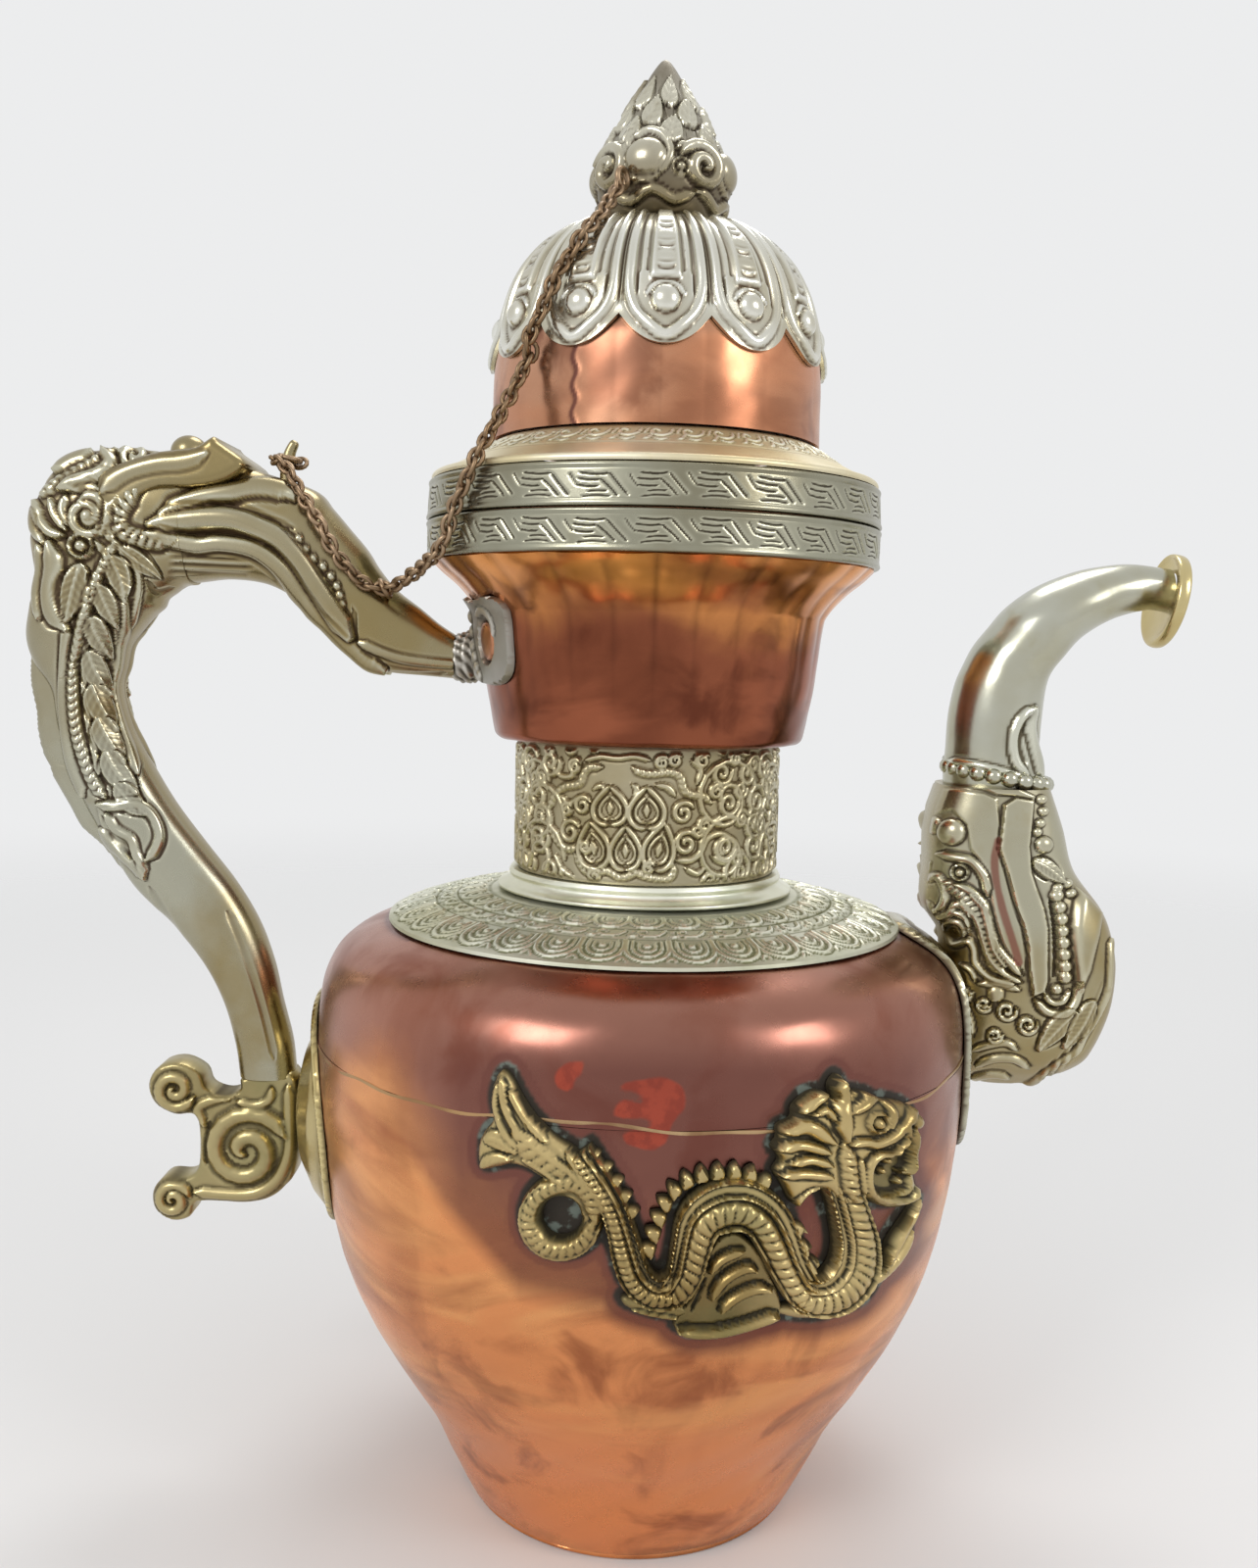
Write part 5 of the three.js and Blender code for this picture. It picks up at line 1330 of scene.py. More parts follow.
# %% Shoulder plate
OUTER_PETAL = read_strokes("""
ridge 0.62 0.5 -4.7,53.4 -4.8,57.6 -3.5,61 0,62.8 3.5,61 4.8,57.6 4.7,53.4
ridge 0.5 0.42 -3.3,53.8 -3.3,57.2 -2.3,59.6 0,60.8 2.3,59.6 3.3,57.2 3.3,53.8
ridge 0.45 0.4 -1.9,54.6 -1.9,57 -1.2,58.3 0,58.9 1.2,58.3 1.9,57 1.9,54.6
ball 0.95 0.55 0,56.4
ridge 0.5 0.4 4,63 5.2,61.2 6.4,63
""")
PLATE_SCROLL = read_strokes("""
ridge 0.55 0.45 -4.4,48.6 -2.8,50.8 -0.6,51.6 1.4,51 1.9,49.7 0.7,49 -0.2,49.8
ridge 0.45 0.4 1.8,51.2 3.2,51.9 4.4,51
ball 0.6 0.4 3.2,49.4
""")
INNER_PETAL = read_strokes("""
ridge 0.55 0.45 -3.7,40.4 -3.8,43.6 -2.6,46 0,47 2.6,46 3.8,43.6 3.7,40.4
ridge 0.45 0.4 -2.2,41 -2.2,43.4 -1.3,44.8 0,45.3 1.3,44.8 2.2,43.4 2.2,41
ball 0.8 0.45 0,42.6
""")


def plate_petals(points, degrees, radii, heights):
    """Two rings of petals with a ring of scrolls between them, parted by cut rings."""
    rise = tile_chase(degrees, 58.0, radii, 36, OUTER_PETAL)
    rise += tile_chase(degrees, 50.2, radii, 35, PLATE_SCROLL)
    rise += tile_chase(degrees, 43.6, radii, 34, INNER_PETAL)
    for ring in (52.9, 47.8, 39.6):
        rise -= 0.3 * np.exp(-((radii - ring) / 0.35) ** 2)
    return rise + beaten(0.05, 6.0)(points, degrees, radii, heights)


PLATE_RADIUS = 64.9
on_shoulder = shoulder_line[(shoulder_line[:, 0] < PLATE_RADIUS) & (shoulder_line[:, 0] > 32)]
plate_edge = (PLATE_RADIUS, offset_line(on_shoulder, 0.4)[0, 1])
plate_line = even_line(np.vstack([[plate_edge], offset_line(on_shoulder, 1.25)]), 0.42)
turned_piece("shoulder_plate_chased", plate_line, inner_wall(on_shoulder, -0.3), plate_metal,
             ["shoulder_plate"], segments=920, work=plate_petals, depth=0.16, ground=0.25)

# %% [markdown]
# ## Cast and cut pieces
# Some pieces are cast or sawn from thick sheet: the dragons, the bracket, the lip and the fins of the
# handle. Each has a drawn outline. A triangle net fills the outline evenly, its front is rounded
# towards the edge and chased, and a back closes it. The net is then laid on what carries it.

# %% Outlines and nets
from mathutils.geometry import delaunay_2d_cdt


def smooth_loop(points, steps=4):
    """A soft closed outline through every point."""
    points = np.array(points, float)
    line = smooth_line(np.vstack([points[-2:], points, points[:2]]), steps)
    return line[2 * steps:(len(points) + 2) * steps]


def edge_depth(spots, loops):
    """The distance from each spot to the nearest of the closed outlines."""
    return np.min([near_line(spots, np.vstack([loop, loop[:1]]))[0] for loop in loops], axis=0)


def fill_outline(loops, gap):
    """An even net inside the first loop and outside the others, with each point's depth from the edge."""
    loops = [even_line(np.vstack([loop, loop[:1]]), gap)[:-1] for loop in loops]
    spots, edges = [], []
    for loop in loops:
        first = len(spots)
        spots += loop.tolist()
        edges += [(first + i, first + (i + 1) % len(loop)) for i in range(len(loop))]
    low, high = loops[0].min(axis=0), loops[0].max(axis=0)
    rows = np.arange(low[1], high[1], gap * 0.87)
    grid = np.array([(x + gap / 2 * (j % 2), y) for j, y in enumerate(rows)
                     for x in np.arange(low[0], high[0], gap)])

    def within(places):
        found = inside(places, loops[0])
        for hole in loops[1:]:
            found &= ~inside(places, hole)
        return found

    grid = grid[within(grid)]
    grid = grid[edge_depth(grid, loops) > gap * 0.55]
    flat, _, faces, _, _, _ = delaunay_2d_cdt([Vector(s) for s in spots + grid.tolist()], edges, [], 0, 1e-6)
    flat, faces = np.array([tuple(v) for v in flat]), np.array(faces)
    faces = faces[within(flat[faces].mean(axis=1))]
    return flat, faces, edge_depth(flat, loops)


def net_shell(front, back, faces):
    """A closed shell from a front, a back with the same net, and a wall along the open edges."""
    steps = np.vstack([faces[:, [0, 1]], faces[:, [1, 2]], faces[:, [2, 0]]])
    known = {tuple(step) for step in steps.tolist()}
    count = len(front)
    wall = [[b, a, a + count, b + count] for a, b in known if (b, a) not in known]
    return np.vstack([front, back]), faces.tolist() + (faces[:, ::-1] + count).tolist() + wall


def rounded(depth, edge):
    """0 at the edge, rising in a quarter circle to 1 at a depth of `edge`."""
    return np.sqrt(1 - (1 - np.clip(depth / edge, 0, 1)) ** 2)


def join_shells(shells):
    """Several (points, faces, rise) shells as one, each with its faces pointing out."""
    points, faces, rise, start = [], [], [], 0
    for shell_points, shell_faces, shell_rise in shells:
        points.append(shell_points)
        faces += [[i + start for i in face] for face in turned_out(shell_points, shell_faces)]
        rise.append(shell_rise)
        start += len(shell_points)
    return np.vstack(points), faces, np.concatenate(rise)


def sawn_piece(name, node, loop, half, finish, strokes=(), gap=0.8, edge=1.0, depth=0.22):
    """A plate that stands upright in the plane of handle and spout, chased on both faces."""
    flat, faces, inward = fill_outline([loop], gap)
    rise = chase(flat, strokes) * np.clip(inward / edge, 0, 1)
    level = half - edge * (1 - rounded(inward, edge))
    front = np.stack([flat[:, 0], -(level + rise), flat[:, 1]], axis=1)
    points, faces = net_shell(front, front * np.array([1, -1, 1]), faces)
    add_piece(name, points, faces, finish, "vessel", [node], np.tile(rise, 2), depth)


# %% Lip, fins and brow of the handle
lip_table = [(.80, .84), (.77, .9), (.68, .965), (.61, .987), (.575, 1.0), (.54, 1.045), (.525, 1.02),
             (.465, .93), (.5, .86), (.57, .82), (.66, .81), (.71, .76), (.74, .71), (.79, .74)]
LIP_STROKES = read_strokes("ridge 2 0.5 -134,251 -128,255.5 -121,257.6 -114,258.4 -108.5,260.6")
sawn_piece("handle_lip_strip", "handle_lip", smooth_loop([on_face(x, z) for x, z in lip_table]), 13.6,
           handle_metal, LIP_STROKES, gap=0.6, edge=2.2)
fin_upper = [(.95, 1.09), (.99, 1.05), (1.0, .995), (.995, .952), (.98, .904), (.975, .856), (.962, .808),
             (.935, .768), (.9, .745), (.8, .75), (.84, .88), (.86, .995), (.88, 1.08)]
fin_lower = [(.9, .8), (.925, .775), (.928, .752), (.895, .711), (.853, .663), (.815, .615), (.733, .567),
             (.64, .5), (.6, .567), (.68, .66), (.75, .757)]
for name, node, table in (("mane_fin_high", "mane_fin_upper", fin_upper),
                          ("mane_fin_low", "mane_fin_lower", fin_lower)):
    sawn_piece(name, node, smooth_loop([on_stem(x, z) for x, z in table]), 3.4, handle_metal, edge=3.2,
               gap=0.7)


def ball_points(middle, radii, rows=24, columns=36):
    """An egg shape with closed poles, as a solid line turned round."""
    turn = np.linspace(-math.pi / 2 + 0.03, math.pi / 2 - 0.03, rows)
    grid = turned_points(np.stack([np.cos(turn), np.sin(turn)], axis=1), full_turn(columns))
    return grid * radii + middle, capped(sheet_faces(rows, columns), rows, columns)


brow_x, brow_z = on_face(.625, 1.0)
points, faces = ball_points((brow_x, 0, brow_z), (4.6, 4.6, 4.2))
add_piece("brow_ball", points, faces, handle_metal, "vessel", ["brow_knob"])

# %% Bracket with its coil
bracket_outline = read_points("""
-88.6,103.6 -88.6,81 -91.5,75 -96,71.6 -102,70.4 -108,70.6 -114.4,70.2 -116,66.4 -120.6,65.2 -125,68
-125.6,73 -122.6,76.6 -117,76.8 -114,79.4 -113.4,85 -113.8,91.6 -115.6,93.8 -120,93.6 -125,96.4
-126.6,101.4 -124,106 -118.6,107.2 -113.4,104.6 -111.6,100.6 -107,99 -103,100.6 -102.6,103.6 -96,103.8
""")
BRACKET_STROKES = read_strokes("""
spiral 2.2 1.7 -101.2,84.6 -91,88.6
spiral -1.5 1.3 -119.6,100.4 -114.8,98.4
spiral 1.4 1.3 -120.2,71 -115.8,72.2
ridge 1.5 1 -90.4,102 -90.2,92 -90.4,84 -93.4,77 -99,73.2 -107,72.8 -114.6,73.4
ridge 1.4 1 -104,99.4 -109.6,98 -113.6,95.6 -112,91
groove 0.8 0.6 -111.6,80.6 -111.8,86 -110.6,92
ridge 1.2 0.9 -94.6,101.6 -95.4,98.2 -99,96.6 -103.6,97.6
""")
sawn_piece("bracket_with_coil", "handle_scroll", smooth_loop(bracket_outline), 5.0, bracket_brass,
           BRACKET_STROKES, gap=0.55, edge=1.2, depth=0.4)

# %% Plates that lie on the belly
belly_line = np.vstack([bowl_line, shoulder_line])


def belly_radius(height):
    return np.interp(height, belly_line[:, 1], belly_line[:, 0])


def belly_skin(across, height, side):
    """Points of the belly on the handle side (-1) or the spout side (1), and outward directions."""
    radius = belly_radius(height)
    lean = belly_radius(height + 0.5) - belly_radius(height - 0.5)
    x = side * np.sqrt(np.maximum(radius ** 2 - across ** 2, 1))
    out = unit(np.stack([x / radius, across / radius, -lean], axis=1))
    return np.stack([x, across, height], axis=1), out


GAP_UNDER = 0.3


def belly_plate(loop, side, thick, edge, rim):
    """A plate bent to the belly, with a raised rim: its flat net, front, back, rise and faces."""
    flat, faces, depth = fill_outline([loop], 0.8)
    base, normal = belly_skin(flat[:, 0], flat[:, 1], side)
    rise = rim * np.exp(-((depth - 1.3) / 0.8) ** 2)
    off = GAP_UNDER + thick * rounded(depth, edge) + rise
    return flat, base + normal * off[:, None], base + normal * GAP_UNDER, rise, faces


BOSS_RADIUS, BOSS_HEIGHT = 30, 97
turn = full_turn(60)
circle = np.stack([np.cos(turn), np.sin(turn)], axis=1)
flat, front, back, rise, faces = belly_plate(BOSS_RADIUS * circle + (0, BOSS_HEIGHT), -1, 1.0, 0.8, 0.5)
reach = np.hypot(flat[:, 0], flat[:, 1] - BOSS_HEIGHT) / BOSS_RADIUS
lens = np.interp(reach, [0, .3, .55, .78, .92, 1], [88.3, 87.5, 85.5, 81.6, 77.7, 70.6])
front[:, 0] = np.minimum(front[:, 0], -lens)
points, faces = net_shell(front, back, faces)
add_piece("boss_disc", points, faces, lip_brass, "vessel", ["handle_boss"], np.tile(rise, 2))
half_plate = [(0, 90.4), (8, 91.4), (15, 94.6), (21, 101), (24.8, 109), (26, 118), (25.4, 128),
              (22.6, 138), (17, 145), (9, 147.8)]
plate_loop = smooth_loop(half_plate + [(0, 148.4)] + [(-y, z) for y, z in half_plate[:0:-1]])
flat, front, back, rise, faces = belly_plate(plate_loop, 1, 0.9, 0.6, 0.8)
points, faces = net_shell(front, back, faces)
add_piece("spout_back_plate", points, faces, handle_metal, "vessel", ["spout_plate"], np.tile(rise, 2))

# %% Saddle, its copper windows and the solder
def cup_radius(height):
    return np.interp(height, cup_line[:, 1], cup_line[:, 0])


SADDLE_DEGREES, SADDLE_HEIGHT = 67, 217.2


def cup_shell(loops, thick, edge, strokes, mirror):
    """A plate bent round the cup beside the snout, in front (1) or mirrored to the back (-1)."""
    flat, faces, depth = fill_outline(loops, 0.6)
    rise = chase(flat, strokes) * np.clip(depth / edge, 0, 1)
    angle, height = math.radians(SADDLE_DEGREES) + flat[:, 0] / 44.5, flat[:, 1] + SADDLE_HEIGHT

    def skin(off):
        radius = cup_radius(height) + off
        return np.stack([-radius * np.sin(angle), -mirror * radius * np.cos(angle), height], axis=1)

    front = skin(GAP_UNDER + thick * rounded(depth, edge) + rise)
    points, faces = net_shell(front, skin(GAP_UNDER), faces)
    return points, [face[::mirror] for face in faces], np.tile(rise, 2)


lobe_loop = smooth_loop([(-12.6, -7), (-13.6, 0), (-12.8, 9.0), (-6, 10.6), (4, 9.8), (12.5, 10.8),
                         (14.8, 6), (15, -4), (12, -9.5), (4, -10.6), (-7, -10.2)])
hole_loop = circle * (5.1, 5.3) - (1.5, 0)
SOLDER_LUMPS = read_strokes("""
ball 2.4 1.3 9.4,-4.6 7.2,-7.2 11.4,-1.8
ball 1.6 1 5,-8.6 12.6,2.4 10.6,5.8
ridge 1 0.5 -7.4,1 -6.6,5 -2.5,7.2 2.6,6.2
""")
shells = [cup_shell([lobe_loop, hole_loop], 1.7, 0.7, SOLDER_LUMPS, mirror) for mirror in (1, -1)]
bar = loft_points([(-42.5, 219.5, -42.5, 207.6, 5.2), (-45.5, 219.6, -45.5, 206.8, 6.4),
                   (-48.5, 218.8, -48.5, 207.2, 5.8), (-50.4, 217.6, -50.4, 208.4, 4.6)], 24, 48)
lumps = 0.5 * np.sin(bar[:, 1] * 1.7 + bar[:, 2]) * np.sin(bar[:, 2] * 1.3 + bar[:, 0] * 2)
bar = bar + sheet_normals(bar, 24, 48) * lumps[:, None]
shells.append((bar, capped(sheet_faces(24, 48), 24, 48), lumps))
points, faces, rise = join_shells(shells)
add_piece("saddle_with_solder", points, faces, solder_metal, "vessel", ["handle_saddle"], rise)
window_loop = circle * (4.8, 5.0) - (1.5, 0)
for name, mirror in (("front", 1), ("back", -1)):
    points, faces, rise = cup_shell([window_loop], 1.1, 0.6, read_strokes("ball 4.4 0.5 -1.5,0"), mirror)
    add_piece("saddle_window_" + name, points, faces, dome_copper, "vessel", ["saddle_rivet_" + name], rise)

# %% [markdown]
# ## Dragons
# A brass dragon is cast in low relief and soldered to the front and to the back of the belly. Its parts
# were outlined in the picture: tail, coil, body loops, foot and head. Each outline is filled with
# a net in pixels, and the sight line of every point is followed to the belly, which bends the net.

# %% Dragon outlines and strokes
DRAGON_PARTS = [part[1:] for part in read_strokes("""
part 2.8 12 515,1090 507,1104 504,1122 506,1140 497,1152 492,1166 492,1180 496,1190 508,1189 525,1186
539,1189 555,1199 571,1209 582,1217 591,1227 598,1240 628,1232 634,1211 628,1204 616,1193 603,1181
587,1168 566,1154 548,1136 534,1115 524,1096
part 1.3 4 690,1336 686,1350 703,1359 725,1359 748,1355 771,1347 792,1341 794,1322 782,1292 768,1268
749,1254 730,1262 720,1280 711,1304 702,1322
part 1.6 8 636,1328 660,1338 690,1342 700,1330 640,1318
part 1.6 8 786,1330 800,1340 824,1342 850,1338 874,1328 892,1308 880,1296 850,1316
part 3.8 16 850,1094 857,1101 860,1114 866,1110 880,1112 892,1118 908,1120 922,1125 930,1138 927,1158
922,1172 924,1196 927,1214 917,1222 900,1227 884,1225 872,1218 862,1228 850,1226 836,1212 820,1212
806,1226 794,1206 786,1192 792,1180 784,1168 790,1158 790,1146 804,1138 806,1126 822,1112 836,1111
843,1118 842,1104
part 2.2 4 931,1220 934,1225 926,1246 913,1268 904,1288 896,1290 900,1266 914,1244
part 2.2 4 923,1250 926,1254 922,1270 910,1288 893,1304 880,1308 892,1292 908,1276
""")]
DRAGON_BODIES = [points for _, points in read_strokes("""
band 592,1172,15 612,1200,14 626,1224,14 634,1248,15 641,1274,17 650,1298,17 668,1312,17 692,1308,18
band 680,1318,15 696,1296,18 703,1268,20 712,1240,23 733,1226,26 757,1225,26 777,1238,25 789,1260,23
799,1285,21 812,1308,20 826,1316,19
band 805,1313,18 828,1317,20 848,1311,22 864,1291,23 867,1264,21 862,1240,19 856,1218,18 850,1196,20
""")]
SPINE_LINES = [points for _, points in read_strokes("""
spine 657,1280 668,1246 682,1214 706,1197 735,1192 764,1193 784,1206
spine 600,1170 620,1190 636,1214 648,1240
spine 808,1240 815,1266 828,1292
""")]
DRAGON_STROKES = read_strokes("""
ridge 4 0.9 582,1170 598,1197 612,1215 621,1234 623,1252
ridge 4 0.9 518,1098 522,1125 535,1150 560,1172 585,1190 600,1205
ribs 9 1 610,1240 606,1216 590,1202 566,1206 548,1222 543,1244 556,1264 577,1270 598,1260 607,1240
ridge 3 1 616,1242 604,1268 577,1278 549,1270 535,1244 540,1216 560,1199
ribs 12 0.9 532,1150 552,1172 578,1192
leaf 9 0.9 500,1156 516,1158 534,1172
leaf 9 0.9 496,1190 512,1180 530,1178
ridge 3.5 0.8 514,1104 512,1126 520,1148 534,1166
ridge 3.5 0.7 526,1110 540,1136 562,1160
ridge 3.5 0.7 540,1178 560,1190 578,1204
ridge 5 1.9 723,1318 737,1299 757,1288 768,1290
ridge 5 1.9 732,1331 746,1318 766,1309 782,1309
ridge 5 1.8 722,1292 734,1279 755,1270
ridge 5 2.4 690,1349 704,1352 726,1352 750,1347 772,1340 788,1334
groove 3 0.8 704,1332 712,1316 718,1300
ridge 8 2.2 849,1101 847,1120 848,1138 849,1156
ridge 4.5 1.3 862,1106 872,1109 880,1115
ridge 5 1.5 853,1130 866,1124 878,1116 889,1116 895,1129 892,1144
ring 11 1.9 881,1140
ball 5 1.9 881,1140
ridge 5 1.5 853,1161 869,1159 880,1161 896,1154 907,1143 916,1130 925,1127
ball 8 1.7 920,1139
ball 3 0.9 926,1130
fill 5 -2.6 905,1144 909,1158 898,1171 884,1174 876,1186 875,1200 884,1212 900,1214 914,1208 918,1190
914,1160
ridge 4 1.6 907,1140 909,1156 898,1170 882,1172 873,1181 871,1197 875,1209 884,1216 898,1219 912,1219
922,1212
ridge 4.5 2 914,1146 917,1161 919,1177 914,1190 906,1190
ball 4 2.2 896,1180 890,1190 906,1200
ridge 5 1.4 871,1206 880,1218 898,1224 916,1219 924,1206
ridge 7 1.8 792,1150 814,1143 838,1159
ridge 5.5 1.6 788,1168 807,1161 834,1169
ridge 5 1.5 798,1181 816,1176 836,1182
ridge 5 1.5 790,1194 808,1190 836,1193
ridge 6 1.7 810,1130 823,1117 836,1113
ridge 4 1.2 820,1132 832,1128 840,1138
ribs 8 1.6 848,1161 853,1179 855,1197 859,1217
ball 6.5 1.8 814,1222
ridge 4 1.3 827,1208 812,1214 806,1224
ridge 3.5 1.1 864,1176 866,1196 868,1210
ridge 3.5 1.1 821,1247 815,1268 821,1288 830,1294
ridge 3.5 1 926,1226 914,1250 900,1276 892,1294
ridge 3 0.8 644,1332 668,1336 690,1340
""")


def band_sides(table):
    """The middle line of a band given as (x, y, half width), and the steps from it to one side."""
    line = smooth_line(table, 5)
    return line[:, :2], -line_normals(line[:, :2]) * line[:, 2:3]


def band_loop(table):
    """The outline of a band."""
    line, side = band_sides(table)
    return np.vstack([line + side, (line - side)[::-1]])


def band_strokes(table):
    """Raised borders, a dividing ridge and cross cuts along one loop of the dragon's body."""
    line, side = band_sides(table)
    wide = np.mean([half for _, _, half in table])
    return [(kind, width, height, (line + side * share)[::2]) for kind, width, height, share in (
        ("ribs", wide * 0.5, 1.5, 0.3), ("ridge", 2.8, 1.5, 0.9), ("ridge", 2.6, 1.3, -0.9),
        ("ridge", 2.4, 1.2, -0.34))]


def onto_belly(pixels):
    """Where the sight lines through pixels meet the belly, and the outward directions there.

    Each point walks along its line in long steps until it is inside the wall, goes one step back and
    walks on in shorter ones.
    """
    lines, reach = sight_lines(pixels), np.full(len(pixels), 230.0)
    for step in (4.0, 0.5, 0.05):
        for _ in range(60):
            spots = CAMERA_PLACE + lines * reach[:, None]
            outside = np.hypot(spots[:, 0], spots[:, 1]) > belly_radius(spots[:, 2])
            if not outside.any():
                break
            reach[outside] += step
        reach -= step
    spots = CAMERA_PLACE + lines * reach[:, None]
    lean = belly_radius(spots[:, 2] + 0.5) - belly_radius(spots[:, 2] - 0.5)
    out = np.stack([spots[:, 0], spots[:, 1], -lean * np.hypot(spots[:, 0], spots[:, 1])], axis=1)
    return spots, unit(out)


def dragon_shell(height, edge, loops, gap=2.2, strokes=DRAGON_STROKES):
    """One raised part of the dragon, laid on the belly."""
    flat, faces, depth = fill_outline(loops, gap)
    spots, normal = onto_belly(flat)
    rise = chase(flat, strokes) * np.clip(depth / 2, 0, 1)
    off = 0.5 + height * rounded(depth, edge) + rise
    points, faces = net_shell(spots + normal * off[:, None], spots + normal * GAP_UNDER, faces)
    return points, faces, np.tile(rise, 2)


THORN_SHAPE = [(0, -9), (1, -9), (1, 1), (0.86, 5.58), (0.72, 9), (0.3, 4.95)]


def spine_loops(line):
    """Thorns along the dragon's back, standing to the left of the line's run."""
    line = even_line(smooth_line(line, 5), 17)
    loops = []
    for start, end in zip(line[:-1], line[1:]):
        step = end - start
        out = np.array([step[1], -step[0]]) / np.linalg.norm(step)
        loops.append(smooth_loop([start + step * run + out * off for run, off in THORN_SHAPE], 3))
    return loops


# %% Dragon casting
shells = [dragon_shell(height, edge, [smooth_loop(loop)]) for height, edge, loop in DRAGON_PARTS]
shells += [dragon_shell(2.6, 6, [band_loop(table)], 1.9, band_strokes(table)) for table in DRAGON_BODIES]
COIL_MIDDLE = np.array([575, 1238])
shells.append(dragon_shell(2.6, 8, [COIL_MIDDLE + circle * 43, COIL_MIDDLE + circle * 20]))
shells += [dragon_shell(2.2, 5, [loop], 3) for line in SPINE_LINES for loop in spine_loops(line)]
points, faces, rise = join_shells(shells)
above_belly = np.hypot(points[:, 0], points[:, 1]) - belly_radius(points[:, 2])
for name, hand in (("front", 1), ("back", -1)):
    add_piece("dragon_" + name + "_casting", points * (hand, hand, 1), faces, dragon_brass, "vessel",
              ["dragon_" + name], rise, depth=0.34, dirt=np.clip(1.25 - above_belly / 1.9, 0, 1))

# %% Flux and old polish round the dragons
FRESH_COPPER = [points for _, points in read_strokes("""
bare 628,1129 637,1121 653,1124 645,1116 631,1113 634,1104 653,1098 676,1097 692,1103 700,1116 700,1132
690,1144 685,1155 681,1169 664,1176 648,1172 636,1164 639,1155 656,1153 664,1147 653,1142 637,1142
627,1138
bare 566,1100 575,1086 598,1080 596,1094 587,1103 581,1113 570,1110
""")]
BROWN_EDGE = ([380, 454, 530, 646, 760, 877, 954, 1040], [1134, 1249, 1333, 1357, 1357, 1341, 1188, 1134])


def dragon_stains(points):
    """Dark flux by each dragon and the plate, old brown farther out, and two places of fresh copper."""
    by_plate = np.clip((PLATE_RADIUS + 1.7 - np.hypot(points[:, 0], points[:, 1])) / 2, 0, 1)
    grime = 0.7 * by_plate * (points[:, 2] > 130)
    fresh = np.zeros(len(points))
    for hand in (1, -1):
        seen = to_picture(points * (hand, hand, 1))
        framed = (np.abs(seen - (710, 1220)) < (340, 260)).all(axis=1)
        near = np.flatnonzero((points[:, 1] * hand < 0) & framed)
        spots, loops = seen[near], [smooth_loop(loop) for _, _, loop in DRAGON_PARTS]
        loops += [band_loop(table) for table in DRAGON_BODIES] + [COIL_MIDDLE + circle * 43]
        away = edge_depth(spots, loops) * ~np.any([inside(spots, loop) for loop in loops], axis=0)
        stain = np.interp(away, [0, 4, 9, 14, 30], [1, 0.9, 0.55, 0.42, 0])
        across, down = spots.T
        brown = np.clip((np.interp(across, *BROWN_EDGE) - down) / 30, 0, 1)
        brown *= np.clip((down - 985) / 110, 0, 1) * np.clip((310 - np.abs(across - 700)) / 80, 0, 1)
        brown *= np.clip(-points[near, 1] * hand / 30, 0, 1)
        for loop in FRESH_COPPER:
            loop = smooth_loop(loop)
            depth = edge_depth(spots, [loop]) * np.where(inside(spots, loop), 1, -1)
            fresh[near] = np.maximum(fresh[near], np.clip(0.5 + depth / 14, 0, 1))
        grime[near] = np.maximum(stain, 0.38 * brown)
    return grime, fresh


for piece in (belly_bowl, belly_shoulder):
    points = np.array([v.co for v in piece.data.vertices]) / MM
    for name, values in zip(("grime", "fresh"), dragon_stains(points)):
        store_values(piece.data, name, values)

# %% [markdown]
# ## Lip of the spout, pin and rings
# The tube ends in a small dished brass flange. Bent wire makes the eyes that hold the chain.

# %% Spout flange
def spout_flange():
    """A dished ring round the mouth; its section is a share of the width and a depth along the tube."""
    section = [(0, 1.4), (.12, 1.1), (.4, .9), (.7, .3), (.88, -.3), (.98, -.1), (1.02, .7), (1.02, 1.6),
               (.99, 2.4), (.9, 2.8), (.6, 2.5), (.2, 2.3), (0, 2.2)]
    columns = 96
    turns, tilt = full_turn(columns), math.radians(10)
    out = np.array([math.cos(tilt), 0, -math.sin(tilt)])
    up = np.array([math.sin(tilt), 0, math.cos(tilt)])
    ring = np.cos(turns)[:, None] * up + np.sin(turns)[:, None] * np.array([0, 1, 0])
    middle = np.array([129.04, 0, 231.8])
    rows = []
    for share, depth in smooth_line(section, 4):
        radius, centre = between(4.4, 11.8, share), middle + up * 2.95 * (1 - share)
        rows.append(centre + ring * radius + out * depth)
    return np.vstack(rows), sheet_faces(len(rows), columns, round_rows=True)


points, faces = spout_flange()
add_piece("spout_flange", points, faces, lip_brass, "vessel", ["spout_lip"])

# %% Pin and wire rings
pin = loft_points([(-94.0, 255.8, -90.2, 255.8, 1.9), (-93.8, 259.5, -90.6, 259.2, 1.7),
                   (-93.0, 263.0, -90.2, 262.4, 1.4), (-91.6, 265.6, -89.4, 264.8, 1.2),
                   (-90.8, 266.2, -89.6, 265.6, 0.5)], 40, 24)
add_piece("pin_post", pin, capped(sheet_faces(40, 24), 40, 24), handle_metal, "vessel", ["chain_pin"])


RING_WIRE = 0.75


def wire_ring(name, middle, axis, radius, body, node):
    """A ring of bent wire, a little out of round."""
    axis = unit(np.array(axis, float))
    side = unit(np.cross(axis, (0.3, 0.2, 1.0)))
    other = np.cross(axis, side)
    around_wire = full_turn(12)[:, None]
    rows = []
    for t in full_turn(40):
        out = side * math.cos(t) + other * math.sin(t)
        place = np.array(middle) + out * radius * (1 + 0.05 * math.sin(2 * t)) + axis * 0.12 * math.sin(t)
        rows.append(place + (np.cos(around_wire) * out + np.sin(around_wire) * axis) * RING_WIRE)
    add_piece(name, np.vstack(rows), sheet_faces(40, 12, round_rows=True), chain_metal, body, [node])


